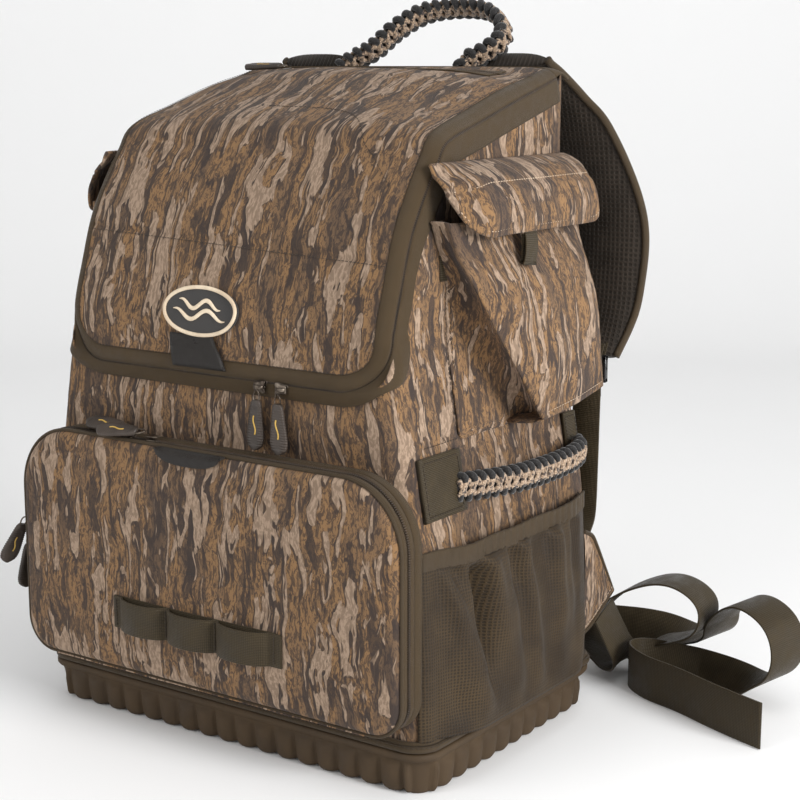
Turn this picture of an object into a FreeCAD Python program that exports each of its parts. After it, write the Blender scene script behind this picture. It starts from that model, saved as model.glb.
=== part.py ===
"""Hunting-style gear backpack on a moulded tub, a folding lid and a hinged front pocket.

Millimetres.  The origin is on the ground under the middle of the tub, +X is the right-hand side
seen from the front (the wearer's right), -Y is the front and +Z is up.
"""
import FreeCAD, Part
import math
import os
import re

import Sketcher
from FreeCAD import Placement, Rotation, Vector

DRIVING_SIZES = {
    # moulded tub
    "tub_half_width": 176, "tub_front": 114, "tub_back": 106, "tub_tall": 32, "tub_wall": 4,
    "tub_corner": 24, "rim_half_width": 185, "rim_front": 125, "rim_back": 125, "rim_tall": 6,
    "flute_pitch": 19.2, "flute_radius": 9.6, "flute_inset": 6.6, "flute_tall": 26,
    "flutes_across": 17, "flutes_along": 10,
    # sewn body
    "cloth": 3, "half_depth": 121, "body_corner": 14, "foot_half": 180, "pocket_line_half": 175,
    "waist_half": 161, "top_half": 150, "pocket_line": 176, "waist_line": 258, "shoulder_line": 320,
    "roof": 497, "binding_tall": 8, "binding_clear": 0.4,
    # lid
    "zip_line": 283, "tape": 18, "lid_corner": 40, "lid_gap": 0.5, "hinge_back": 103, "crown_wrap": 118,
    # front pocket
    "pocket_half": 180, "pocket_low": 50, "pocket_high": 230, "pocket_top_corner": 50,
    "pocket_foot_corner": 25, "pocket_face": 146, "pocket_zip": 137, "pocket_gap": 0.5,
    "hinge_half": 148,
    # side pouch and its flap
    "pouch_front": 50, "pouch_back": 105, "pouch_low": 247, "pouch_high": 398, "pouch_foot": 197,
    "pouch_mouth": 170, "flap_seam": 153.5, "flap_seam_high": 432, "flap_ridge": 180,
    "flap_ridge_high": 414, "flap_edge": 185, "flap_edge_high": 390, "flap_front": 62,
    "flap_back": 108,
    # mesh pocket
    "mesh_low": 40, "mesh_high": 163, "mesh_top": 176, "mesh_bulge": 194, "mesh_root": 180.4,
    "mesh_front": 105, "mesh_flat": 62,
    # handles and webbing
    "webbing": 25, "web_thick": 1.6, "wide_web": 38, "handle_thick": 7, "handle_wide": 20,
    "handle_half": 64, "handle_rise": 59, "handle_lean": 37, "handle_foot_back": 110,
    # zipper sliders and pulls
    "slider_long": 10, "slider_wide": 9, "slider_thick": 4, "pull_long": 40, "pull_wide": 12,
    "pull_thick": 3.6, "play": 0.5,
    # webbing tubes
    "tube": 6,
    # waist buckle
    "buckle_end": 184, "buckle_low": 3, "buckle_tall": 13, "socket_long": 32, "buckle_middle": 220,
    "buckle_half": 19,
    # badge and grab tabs
    "badge_middle": -16, "badge_half": 36, "badge_low": 310, "badge_high": 342,
    "lid_tab_left": -44, "lid_tab_right": 8, "lid_tab_low": 288, "lid_tab_high": 309,
    "pocket_tab_left": -35, "pocket_tab_right": 28, "pocket_tab_low": 212, "pocket_tab_high": 228,
    # flat pocket across the top of the lid
    "lid_pocket_left": -100, "lid_pocket_right": 118, "lid_pocket_front": 66, "lid_pocket_back": 92,
    # webbing loops on the front pocket
    "loop_low": 86, "loop_rise": 7, "loop_long": 44, "loop_slope": 6,
    # back pads
    "pad_tall": 88, "pad_thick": 9, "flute_shift": 4,
}

doc = FreeCAD.newDocument("gear_backpack")
sheet = doc.addObject("Spreadsheet::Sheet", "Sizes")
for row, (alias, number) in enumerate(DRIVING_SIZES.items(), 1):
    sheet.set(f"A{row}", alias)
    sheet.set(f"B{row}", str(number))
    sheet.setAlias(f"B{row}", alias)
doc.recompute()

nodes = {}


# ---------------------------------------------------------------- sizes and formulas
def size(alias):
    """The number that the sheet holds for one alias."""
    return float(getattr(sheet, alias))


def formula(text):
    """A formula in the sheet's words, written so that another object can use it."""
    return re.sub(r"[a-z][a-z_]+", lambda word: f"Sizes.{word.group(0)}", str(text))


def value(text):
    """Work out a sum of products, such as '-rim_front + 2 * cloth', from the sheet."""
    total = 0.0
    for sign, term in re.findall(r"([+-]?)\s*([^+-]+)", str(text)):
        product = -1.0 if sign == "-" else 1.0
        for factor in term.split("*"):
            word = factor.strip()
            product *= size(word) if word[0].isalpha() else float(word)
        total += product
    return total


def minus(text):
    """The same sum with every sign turned round, led by its sign."""
    signed = text.strip() if text.strip()[0] in "+-" else "+" + text.strip()
    return signed.translate(str.maketrans("+-", "-+"))


def bind(thing, **rules):
    """Tie properties to formulas; a double underscore in a name stands for a dot."""
    for prop, text in rules.items():
        thing.setExpression(prop.replace("__", "."), formula(text))
    return thing


def keep(label, thing):
    """Name a finished sub-part, so that it is written out."""
    thing.Label = label
    nodes[label] = thing
    return thing


# ---------------------------------------------------------------- solids without sketches
def block(label, x, y, z):
    """A box between two formulas on each axis."""
    box = doc.addObject("Part::Box", label)
    bind(box, Placement__Base__x=x[0], Placement__Base__y=y[0], Placement__Base__z=z[0],
         Length=f"{x[1]} - ({x[0]})", Width=f"{y[1]} - ({y[0]})", Height=f"{z[1]} - ({z[0]})")
    return box


def joined(label, pieces):
    """Several solids as one sub-part."""
    fuse = doc.addObject("Part::MultiFuse", label)
    fuse.Shapes = pieces
    return fuse


def common(label, base, tool):
    """What two solids share."""
    both = doc.addObject("Part::Common", label)
    both.Base = base
    both.Tool = tool
    return both


def cut(label, base, tool):
    """The first solid without the second."""
    rest = doc.addObject("Part::Cut", label)
    rest.Base = base
    rest.Tool = tool
    return rest


def mirrored(label, source):
    """The same piece on the other side of the pack."""
    twin = doc.addObject("Part::Mirroring", label)
    twin.Source = source
    twin.Normal = Vector(1, 0, 0)
    return twin


# ---------------------------------------------------------------- sketched solids
def new_body(label):
    """An empty body with its own origin planes."""
    return doc.addObject("PartDesign::Body", label + "_body")


def new_sketch(body, name, plane, offset="0"):
    """A sketch on one of the body's own origin planes, moved along the plane's normal."""
    sketch = body.newObject("Sketcher::SketchObject", name)
    planes = [item for item in body.Origin.OriginFeatures if item.Role == plane]
    sketch.AttachmentSupport = (planes[0], "")
    sketch.MapMode = "FlatFace"
    sketch.setExpression(".AttachmentOffset.Base.z", formula(offset))
    return sketch


def place_point(sketch, line, end, spot):
    """Hold one end of a line at two formulas."""
    for kind, text in (("DistanceX", spot[0]), ("DistanceY", spot[1])):
        index = sketch.addConstraint(Sketcher.Constraint(kind, -1, 1, line, end, value(text)))
        sketch.setExpression(f"Constraints[{index}]", formula(text))


def polygon(sketch, spots):
    """A closed outline of straight lines through spots given as pairs of formulas."""
    corners = [Vector(value(x), value(y), 0) for x, y in spots]
    lines = []
    for start, end in zip(corners, corners[1:] + corners[:1]):
        lines.append(sketch.addGeometry(Part.LineSegment(start, end), False))
    for line, following in zip(lines, lines[1:] + lines[:1]):
        sketch.addConstraint(Sketcher.Constraint("Coincident", line, 2, following, 1))
    for line, spot in zip(lines, spots):
        place_point(sketch, line, 1, spot)


def round_frame(sketch, x, y, low_radius, high_radius):
    """A rectangle between formulas, with one corner radius at the foot and one at the top."""
    x0, x1, y0, y1 = value(x[0]), value(x[1]), value(y[0]), value(y[1])
    low, high = value(low_radius), value(high_radius)
    ends = [((x0 + low, y0), (x1 - low, y0)), ((x1, y0 + low), (x1, y1 - high)),
            ((x1 - high, y1), (x0 + high, y1)), ((x0, y1 - high), (x0, y0 + low))]
    lines = []
    for start, end in ends:
        segment = Part.LineSegment(Vector(*start, 0), Vector(*end, 0))
        lines.append(sketch.addGeometry(segment, False))
    centres = [(x1 - low, y0 + low, low, -90), (x1 - high, y1 - high, high, 0),
               (x0 + high, y1 - high, high, 90), (x0 + low, y0 + low, low, 180)]
    for number, (cx, cy, radius, begin) in enumerate(centres):
        ring = Part.Circle(Vector(cx, cy, 0), Vector(0, 0, 1), radius)
        bend = Part.ArcOfCircle(ring, math.radians(begin), math.radians(begin + 90))
        arc = sketch.addGeometry(bend, False)
        following = lines[(number + 1) % 4]
        sketch.addConstraint(Sketcher.Constraint("Tangent", lines[number], 2, arc, 1))
        sketch.addConstraint(Sketcher.Constraint("Tangent", arc, 2, following, 1))
        rule = low_radius if number in (0, 3) else high_radius
        index = sketch.addConstraint(Sketcher.Constraint("Radius", arc, radius))
        sketch.setExpression(f"Constraints[{index}]", formula(rule))
    for line, kind in zip(lines, ("Horizontal", "Vertical") * 2):
        sketch.addConstraint(Sketcher.Constraint(kind, line))
    for line, kind, rule in ((lines[0], "DistanceY", y[0]), (lines[1], "DistanceX", x[1]),
                             (lines[2], "DistanceY", y[1]), (lines[3], "DistanceX", x[0])):
        index = sketch.addConstraint(Sketcher.Constraint(kind, -1, 1, line, 1, value(rule)))
        sketch.setExpression(f"Constraints[{index}]", formula(rule))


def disc(sketch, centre, radius):
    """A circle about a point given as formulas."""
    ring = Part.Circle(Vector(value(centre[0]), value(centre[1]), 0), Vector(0, 0, 1), value(radius))
    index = sketch.addGeometry(ring, False)
    place_point(sketch, index, 3, centre)
    rule = sketch.addConstraint(Sketcher.Constraint("Radius", index, value(radius)))
    sketch.setExpression(f"Constraints[{rule}]", formula(radius))


def pad(body, sketch, length):
    """Raise a sketch along its plane's normal."""
    feature = body.newObject("PartDesign::Pad", sketch.Name + "_pad")
    feature.Profile = sketch
    bind(feature, Length=length)
    sketch.Visibility = False
    return feature


def prism(label, plane, spots, start, length):
    """A straight-sided outline raised from 'start' along its plane's normal."""
    body = new_body(label)
    sketch = new_sketch(body, label + "_outline", plane, start)
    polygon(sketch, spots)
    pad(body, sketch, length)
    return body


def round_prism(label, plane, x, y, low_radius, high_radius, start, length):
    """The same for a rectangle with rounded corners."""
    body = new_body(label)
    sketch = new_sketch(body, label + "_outline", plane, start)
    round_frame(sketch, x, y, low_radius, high_radius)
    pad(body, sketch, length)
    return body


def ring_prism(label, plane, outer, inner, start, length):
    """A frame between two rounded rectangles, each given as x, y, low and high radius."""
    body = new_body(label)
    sketch = new_sketch(body, label + "_outline", plane, start)
    round_frame(sketch, *outer)
    round_frame(sketch, *inner)
    pad(body, sketch, length)
    return body


# ---------------------------------------------------------------- tub
def make_base_tub():
    """A shallow moulded tray with upright flutes and a plain lip."""
    body = new_body("base_tub")
    tray = new_sketch(body, "tub_tray", "XY_Plane")
    round_frame(tray, ("-tub_half_width", "tub_half_width"), ("-tub_front", "tub_back"),
                "tub_corner", "tub_corner")
    pad(body, tray, "tub_tall - rim_tall")
    lip = new_sketch(body, "tub_lip", "XY_Plane", "tub_tall - rim_tall")
    round_frame(lip, ("-rim_half_width", "rim_half_width"), ("-rim_front", "rim_back"),
                "tub_corner", "tub_corner")
    pad(body, lip, "rim_tall")
    doc.recompute()
    add_flutes(body, "front", "H_Axis", "flutes_across", 0, "-tub_front + flute_inset")
    add_flutes(body, "rear", "H_Axis", "flutes_across", 0, "tub_back - flute_inset")
    add_flutes(body, "right", "V_Axis", "flutes_along", 1, "tub_half_width - flute_inset")
    add_flutes(body, "left", "V_Axis", "flutes_along", 1, "-tub_half_width + flute_inset")
    inside = new_sketch(body, "tub_inside", "XY_Plane", "tub_wall")
    round_frame(inside, ("-tub_half_width + tub_wall", "tub_half_width - tub_wall"),
                ("-tub_front + tub_wall", "tub_back - tub_wall"),
                "tub_corner - tub_wall", "tub_corner - tub_wall")
    hollow = body.newObject("PartDesign::Pocket", "tub_hollow")
    hollow.Profile = inside
    hollow.Reversed = True
    bind(hollow, Length="tub_tall")
    keep("base_tub", body)


def add_flutes(body, side, direction, count, along_y, wall):
    """A row of half-round ribs down one side of the tub."""
    middle = "-flute_shift" if along_y else "0"
    first = f"{middle} - 0.5 * {count} * flute_pitch + 0.5 * flute_pitch"
    centre = (wall, first) if along_y else (first, wall)
    sketch = new_sketch(body, f"flute_{side}", "XY_Plane")
    disc(sketch, centre, "flute_radius")
    rib = pad(body, sketch, "flute_tall")
    row = body.newObject("PartDesign::LinearPattern", f"flutes_{side}")
    row.Originals = [rib]
    row.Direction = (sketch, [direction])
    bind(row, Length=f"{count} * flute_pitch - flute_pitch", Occurrences=count)
    body.Tip = row


def make_base_binding():
    """Bound seam that joins the cloth to the tub's lip."""
    outer = (("-rim_half_width", "rim_half_width"), ("-rim_front", "rim_back"), "tub_corner", "tub_corner")
    inner = (("-foot_half - binding_clear", "foot_half + binding_clear"),
             ("-half_depth - binding_clear", "half_depth + binding_clear"),
             "body_corner", "body_corner")
    keep("base_binding", ring_prism("base_binding", "XY_Plane", outer, inner, "tub_tall", "binding_tall"))


def make_floor_board():
    """Loose board that stiffens the floor of the pack."""
    body = round_prism("floor_board", "XY_Plane",
                       ("-tub_half_width + 3 * tub_wall", "tub_half_width - 3 * tub_wall"),
                       ("-tub_front + 3 * tub_wall", "tub_back - 3 * tub_wall"),
                       "tub_corner - tub_wall", "tub_corner - tub_wall", "tub_wall", "tub_wall")
    keep("floor_board", body)


# ---------------------------------------------------------------- sewn body
LEVELS = (("foot_half", "tub_tall"), ("pocket_line_half", "pocket_line"), ("waist_half", "waist_line"),
          ("top_half", "shoulder_line"), ("top_half", "roof"))

# side view of the lid's outer face, from the front zipper up and back to the hinge
LID_CURVE = ((-122, 283), (-114, 300), (-112, 325), (-103, 355), (-92, 387), (-78, 412), (-60, 437),
             (-47, 452), (-7, 464), (24, 473), (60, 483), (86, 490), (103, 495))


def lofted(label, inset):
    """The body's outline stacked up through its levels, drawn in by a formula."""
    body = new_body(label)
    sketches = []
    for number, (half, level) in enumerate(LEVELS):
        sketch = new_sketch(body, f"{label}_level{number}", "XY_Plane", level)
        round_frame(sketch, (f"-{half} + {inset}", f"{half} - {inset}"),
                    (f"-half_depth + {inset}", f"half_depth - {inset}"),
                    f"body_corner - {inset}", f"body_corner - {inset}")
        sketches.append(sketch)
    loft = body.newObject("PartDesign::AdditiveLoft", label + "_loft")
    loft.Profile = sketches[0]
    loft.Sections = sketches[1:]
    loft.Ruled = True
    return body


def lid_edge(drop):
    """The lid's side view, moved down and back by a formula."""
    return [(f"{y} + {drop}", f"{z} {minus(drop)}") for y, z in LID_CURVE]


def lid_sheet(label, drop):
    """A curved sheet under the lid's outer face, as deep as a formula says."""
    spots = trim_hinge_end(lid_edge("0") + list(reversed(lid_edge(drop))))
    return prism(label, "YZ_Plane", spots, "-top_half", "2 * top_half")


def trim_hinge_end(spots):
    """Bring the inner curve's last point back under the hinge line."""
    return [("hinge_back", z) if value(y) > size("hinge_back") else (y, z) for y, z in spots]


def lid_window(label, inset, low, corner):
    """A tall upright window with rounded lower corners, seen from the front."""
    return round_prism(label, "XZ_Plane", (f"-top_half + {inset}", f"top_half - {inset}"), (low, "600"),
                       corner, "1", "-hinge_back - 20", "400")


def above_lid(label, drop, front_level):
    """Everything in front of and above the lid's curve, moved down and back by 'drop'."""
    behind = "hinge_back + lid_gap"
    spots = [(behind, z) if value(y) > value(behind) else (y, z) for y, z in lid_edge(drop)]
    spots[0] = (f"{spots[0][0]} + cloth", front_level)
    fence = [(behind, "600"), ("-200", "600"), ("-200", front_level)]
    return prism(label, "YZ_Plane", spots + fence, "-200", "400")


def make_body_walls():
    """One thin sewn shell, parted into its four walls and the zipper's fixed half."""
    hollow_shell = cut("shell", lofted("shell_outside", "0"), lofted("shell_inside", "cloth"))
    open_shell = cut("open_shell", hollow_shell, above_lid("lid_room", "cloth + lid_gap", "zip_line - lid_gap"))
    walls = cut("walls", open_shell, above_lid("tape_room", "cloth + tape", "zip_line - tape"))
    band = common("zip_band", open_shell, above_lid("band_room", "cloth + tape", "zip_line - tape"))
    front = ("-half_depth", "-half_depth + body_corner")
    back = ("half_depth - body_corner", "half_depth")
    middle = (front[1], back[0])
    tall = ("0", "roof")
    wide = ("-pocket_half - cloth", "pocket_half + cloth")
    right = ("0", "pocket_half + cloth")
    keep("front_wall", common("front_wall_cut", walls, block("front_zone", wide, front, tall)))
    keep("back_panel", common("back_panel_cut", walls, block("back_zone", wide, back, tall)))
    side = common("side_wall_cut", walls, block("side_zone", right, middle, tall))
    keep("side_panel_right", side)
    keep("side_panel_left", mirrored("side_wall_twin", side))
    foot = block("lid_foot_zone", ("-top_half", "top_half"), ("-half_depth - 9", "-half_depth + 21"),
                 ("zip_line - lid_gap", "zip_line + lid_corner"))
    room = round_prism("lid_foot_room", "XZ_Plane", ("-top_half - lid_gap", "top_half + lid_gap"),
                       ("zip_line - lid_gap", "600"), "lid_corner + lid_gap", "1", "0", "200")
    corners = cut("lid_corner_cloth", common("lid_foot", lid_sheet("foot_sheet", "cloth + lid_gap"), foot), room)
    keep("body_zipper_tape", joined("body_zipper_join", [band, corners]))


def make_back_parts():
    """Stiff sheet inside the back, foam pads on it and the yoke across the top."""
    inside = "half_depth - cloth"
    keep("frame_sheet", block("frame_sheet_box", ("-top_half + 5 * cloth", "top_half - 5 * cloth"),
                              (f"{inside} - cloth + 1", inside), ("pocket_low", "roof - 5 * cloth")))
    pads = []
    for number, low in enumerate(("110", "210", "310")):
        for x in (("18", "118"), ("-118", "-18")):
            pads.append(block(f"back_pad_{number}_{x[0].replace('-', 'm')}", x,
                              ("half_depth", "half_depth + pad_thick"), (low, f"{low} + pad_tall")))
    keep("back_pads", joined("back_pad_group", pads))
    keep("top_yoke", round_prism("top_yoke", "XY_Plane", ("-top_half", "top_half"),
                                 ("hinge_back + lid_gap", "half_depth"), "1", "body_corner",
                                 "roof", "cloth"))


# ---------------------------------------------------------------- lid
def make_lid():
    """Curved lid cloth with the zipper's moving half round its sides and foot."""
    outer = lid_window("lid_outer_window", "0", "zip_line", "lid_corner")
    inner = lid_window("lid_inner_window", "tape", "zip_line + tape", "lid_corner - tape")
    whole = common("lid_whole", lid_sheet("lid_curve", "cloth"), outer)
    keep("lid_panel", common("lid_panel_cut", whole, inner))
    keep("lid_zipper_tape", cut("lid_tape_cut", whole, inner))


def make_lid_trim():
    """Badge, grab tab and the zipper of the flat pocket, all lying on the lid's cloth."""
    spots = [(f"{y} - web_thick", f"{z} + web_thick") for y, z in LID_CURVE]
    skin = prism("lid_skin", "YZ_Plane", spots + list(reversed(lid_edge("0"))), "-top_half", "2 * top_half")
    badge = round_prism("badge_window", "XZ_Plane", ("badge_middle - badge_half", "badge_middle + badge_half"),
                        ("badge_low", "badge_high"), "15.5", "15.5", "90", "60")
    keep("lid_badge", common("lid_badge_cut", skin, badge))
    tab = block("lid_tab_window", ("lid_tab_left", "lid_tab_right"), ("-150", "-90"),
                ("lid_tab_low", "lid_tab_high"))
    keep("lid_grab_tab", common("lid_tab_cut", skin, tab))
    mouth = block("lid_pocket_window", ("lid_pocket_left", "lid_pocket_right"),
                  ("lid_pocket_front", "lid_pocket_back"), ("400", "600"))
    keep("lid_pocket_tape", common("lid_pocket_cut", skin, mouth))


# ---------------------------------------------------------------- front pocket
def pocket_frame(inset):
    """The front pocket's outline, drawn in by a formula."""
    return (("-pocket_half + " + inset, "pocket_half - " + inset),
            ("pocket_low + " + inset, "pocket_high - " + inset),
            "pocket_foot_corner - " + inset, "pocket_top_corner - " + inset)


def make_front_pocket():
    """Fixed gusset on the body, and the panel with its zipper half that folds forward."""
    keep("pocket_gusset", ring_prism("pocket_gusset", "XZ_Plane", pocket_frame("0"), pocket_frame("cloth"),
                                     "half_depth", "pocket_zip - pocket_gap - half_depth"))
    rim = ring_prism("pocket_rim", "XZ_Plane", pocket_frame("0"), pocket_frame("cloth"),
                     "pocket_zip", "pocket_face - cloth - pocket_zip")
    strip_zone = block("hinge_zone", ("-hinge_half", "hinge_half"), ("-pocket_face", "-half_depth"),
                       ("pocket_low", "pocket_low + cloth"))
    keep("pocket_zipper_tape", cut("pocket_tape_cut", rim, strip_zone))
    keep("pocket_hinge_strip", common("hinge_strip_cut", rim, strip_zone))
    keep("pocket_panel", round_prism("pocket_panel", "XZ_Plane", *pocket_frame("0"),
                                     "pocket_face - cloth", "cloth"))
    keep("pocket_grab_tab", round_prism("pocket_grab_tab", "XZ_Plane", ("pocket_tab_left", "pocket_tab_right"),
                                        ("pocket_tab_low", "pocket_tab_high"), "7", "1", "pocket_face",
                                        "web_thick"))


def make_daisy_chain():
    """Flat webbing on the pocket, standing off it in three loops."""
    lift = "-pocket_face - loop_rise"
    outline = []
    outside = []
    for left in (-70, -22, 26):
        outline += [(f"{left}", "-pocket_face"), (f"{left} + loop_slope", f"{lift} + web_thick"),
                    (f"{left} + loop_long - loop_slope", f"{lift} + web_thick"),
                    (f"{left} + loop_long", "-pocket_face")]
        outside += [(f"{left} - 1", "-pocket_face - web_thick"), (f"{left} + loop_slope - 1", lift),
                    (f"{left} + loop_long - loop_slope + 1", lift),
                    (f"{left} + loop_long + 1", "-pocket_face - web_thick")]
    ends = [("84", "-pocket_face"), ("84", "-pocket_face - web_thick")]
    start = [("-78", "-pocket_face - web_thick"), ("-78", "-pocket_face")]
    spots = outline + ends + list(reversed(outside)) + start
    keep("daisy_webbing", prism("daisy_webbing", "XY_Plane", spots, "loop_low", "webbing"))


# ---------------------------------------------------------------- side pouches and mesh pockets
def make_side_pouch():
    """A bellows pouch that leans out towards its foot, open at the top and against the body."""
    outside = [("163", "pouch_low"), ("pouch_foot", "pouch_low"), ("pouch_mouth", "pouch_high"),
               ("150.4", "pouch_high"), ("150.4", "shoulder_line")]
    inside = [("140", "pouch_low + cloth"), ("pouch_foot - cloth", "pouch_low + cloth"),
              ("pouch_mouth - cloth", "pouch_high + cloth"), ("140", "pouch_high + cloth")]
    solid = prism("pouch_outside", "XZ_Plane", outside, "-pouch_back", "pouch_back + pouch_front")
    room = prism("pouch_inside", "XZ_Plane", inside, "-pouch_back + cloth",
                 "pouch_back + pouch_front - 2 * cloth")
    pouch = cut("side_pouch_cut", solid, room)
    keep("side_pouch_right", pouch)
    keep("side_pouch_left", mirrored("side_pouch_twin", pouch))


def make_side_flap():
    """Rain flap hinged on its upper seam, with a webbing pull under its edge."""
    spots = [("flap_seam", "flap_seam_high"), ("flap_ridge", "flap_ridge_high"),
             ("flap_edge", "flap_edge_high"), ("flap_edge - cloth", "flap_edge_high"),
             ("flap_ridge - cloth", "flap_ridge_high - cloth"), ("flap_seam", "flap_seam_high - cloth - 1")]
    cloth = prism("side_flap", "XZ_Plane", spots, "-flap_back", "flap_back + flap_front")
    tab = block("flap_tab_box", ("flap_edge - cloth", "flap_edge"), ("-2", "12"),
                ("flap_edge_high - 18", "flap_edge_high"))
    flap = joined("side_flap_join", [cloth, tab])
    keep("side_flap_right", flap)
    keep("side_flap_left", mirrored("side_flap_twin", flap))


def mesh_outline(skin):
    """Plan of the mesh pocket: a shallow bulge off the side of the body."""
    return [("mesh_root", "-mesh_front + " + skin), ("mesh_bulge - " + skin, "-mesh_flat"),
            ("mesh_bulge - " + skin, "mesh_flat"), ("mesh_root", "mesh_front - " + skin)]


def make_mesh_pocket():
    """Open-topped mesh pocket, with its elastic top edge as a separate band."""
    solid = prism("mesh_outside", "XY_Plane", mesh_outline("0"), "mesh_low", "mesh_high - mesh_low")
    room = prism("mesh_inside", "XY_Plane", mesh_outline("cloth"), "mesh_low + cloth", "200")
    mesh = cut("mesh_cut", solid, room)
    keep("mesh_pocket_right", mesh)
    keep("mesh_pocket_left", mirrored("mesh_twin", mesh))
    high = prism("elastic_outside", "XY_Plane", mesh_outline("0"), "mesh_high", "mesh_top - mesh_high")
    band = cut("elastic_cut", high, room)
    keep("elastic_bands", joined("elastic_pair", [band, mirrored("elastic_twin", band)]))


# ---------------------------------------------------------------- handles, straps and webbing
def make_side_handles():
    """Woven cord handle on each side, sewn under a patch of webbing at each end."""
    patches = []
    for name, start, length in (("front", "62", "44"), ("rear", "-107", "16")):
        lean = [("171.3", "202"), ("172.9", "202"), ("167.3", "238"), ("165.7", "238")]
        patch = prism(f"handle_patch_{name}", "XZ_Plane", lean, start, length)
        patches += [patch, mirrored(f"handle_patch_{name}_twin", patch)]
    keep("handle_patches", joined("handle_patch_group", patches))
    plan = [("173", "-61"), ("181", "-30"), ("187", "20"), ("188", "70"), ("184", "90.5"),
            ("173", "90.5"), ("173", "84"), ("179", "80"), ("179.5", "20"), ("174", "-30")]
    bar = prism("side_handle_bar", "XY_Plane", plan, "202", "handle_wide")
    taper = [("-62", "208"), ("-38", "202"), ("68", "202"), ("91", "208"), ("91", "216"), ("68", "222"),
             ("-38", "222"), ("-62", "216")]
    handle = common("side_handle_cut", bar, prism("side_handle_taper", "YZ_Plane", taper, "150", "60"))
    keep("side_handle_right", handle)
    keep("side_handle_left", mirrored("side_handle_twin", handle))


def make_top_handle():
    """Woven cord grab handle that leans back from its two feet on the yoke."""
    body = new_body("top_handle")
    sketch = new_sketch(body, "top_handle_outline", "XZ_Plane", "-0.5 * handle_wide")
    inner = "handle_half - handle_thick"
    left = minus(inner)
    rise = "handle_rise - handle_thick"
    round_frame(sketch, ("-handle_half", "handle_half"), ("-40", "handle_rise"), "3", "34")
    round_frame(sketch, (left, inner), ("-30", rise), "3", "27")
    pad(body, sketch, "handle_wide")
    below = new_sketch(body, "top_handle_below", "XZ_Plane", "-handle_wide")
    polygon(below, [("-90", "-50"), ("90", "-50"), ("90", "9.3"), ("-90", "9.3")])
    trim = body.newObject("PartDesign::Pocket", "top_handle_trim")
    trim.Profile = below
    trim.Midplane = True
    bind(trim, Length="4 * handle_wide")
    lean = Rotation(Vector(1, 0, 0), -size("handle_lean"))
    body.Placement = Placement(Vector(0, size("handle_foot_back"), size("roof") + 4), lean)
    keep("top_handle", body)


def make_shoulder_straps():
    """Padded strap that curves back and out from the yoke, with webbing from its lower end."""
    curve = [("121.5", "497"), ("146", "474"), ("162", "430"), ("170", "370"), ("168", "320"),
             ("150", "280"), ("139", "286"), ("156", "324"), ("158", "368"), ("150", "426"),
             ("136", "465"), ("121.5", "480")]
    plan = [("60", "500"), ("130", "500"), ("166", "452"), ("190", "384"), ("188", "320"), ("178", "276"),
            ("140", "276"), ("128", "320"), ("122", "372"), ("96", "430")]
    sheet_of_foam = prism("strap_curve", "YZ_Plane", curve, "50", "150")
    outline = prism("strap_outline", "XZ_Plane", plan, "-300", "260")
    strap = common("shoulder_strap_cut", sheet_of_foam, outline)
    keep("shoulder_strap_right", strap)
    keep("shoulder_strap_left", mirrored("shoulder_strap_twin", strap))
    fall = [("141", "268"), ("142.6", "268"), ("142.6", "131"), ("141", "131")]
    web = prism("strap_web", "YZ_Plane", fall, "147", "webbing")
    keep("strap_webbing", joined("strap_web_pair", [web, mirrored("strap_web_twin", web)]))
    frame = ring_prism("ladder_lock", "XZ_Plane", (("144", "175"), ("255", "277"), "2", "2"),
                       (("147.5", "171.5"), ("259", "273"), "1", "1"), "-150", "4")
    bar = block("ladder_bar", ("147.5", "171.5"), ("146", "149"), ("265", "268"))
    lock = joined("ladder_lock_right_join", [frame, bar])
    keep("ladder_lock_right", lock)
    keep("ladder_lock_left", mirrored("ladder_lock_twin", lock))


def make_wings():
    """Stiff cloth fins at the foot of the back, where the waist webbing is sewn in."""
    fin = [("half_depth", "138"), ("138", "128"), ("172", "76"), ("140", "58"), ("half_depth", "52")]
    wing = prism("hip_wing", "YZ_Plane", fin, "171", "cloth")
    keep("hip_wings", joined("hip_wing_pair", [wing, mirrored("hip_wing_twin", wing)]))


# control points of the two waist webbings, chosen by hand
RIGHT_WEB_ROUTE = ((172.5, 157, 63), (180, 165, 40), (186, 174, 18), (168, 184, 8), (142, 190, 22),
                   (148, 192, 50), (180, 192, 76), (220, 190, 92), (252, 190, 78), (248, 194, 50),
                   (218, 202, 34), (190, 212, 24), (178, 216, 12))
LEFT_WEB_ROUTE = ((-172.5, 157, 63), (-182, 172, 40), (-168, 192, 19), (-120, 196, 19), (-60, 188, 19),
                  (0, 196, 19), (60, 214, 19), (112, 238, 19), (166, 250, 19), (212, 248, 20),
                  (246, 226, 36), (258, 202, 64), (288, 186, 88), (322, 178, 74), (326, 180, 38),
                  (300, 190, 14), (262, 200, 10), (228, 196, 14), (196, 186, 18), (190, 164, 19),
                  (216, 142, 19), (254, 132, 19), (296, 112, 19), (338, 98, 19))


def rounded_route(points):
    """Straight runs joined by tangent arcs as large as the runs allow."""
    edges = []
    radii = []
    start = points[0]
    for before, corner, after in zip(points, points[1:], points[2:]):
        back = before - corner
        ahead = after - corner
        reach = 0.45 * min(back.Length, ahead.Length)
        back.normalize()
        ahead.normalize()
        half_turn = (math.pi - back.getAngle(ahead)) / 2
        radius = reach / math.tan(half_turn)
        inward = (back + ahead).normalize()
        centre = corner + inward * (radius / math.cos(half_turn))
        leave = corner + ahead * reach
        enter = corner + back * reach
        edges.append(Part.LineSegment(start, enter).toShape())
        edges.append(Part.Arc(enter, centre - inward * radius, leave).toShape())
        radii.append(round(radius))
        start = leave
    edges.append(Part.LineSegment(start, points[-1]).toShape())
    return Part.Wire(edges), radii


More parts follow.
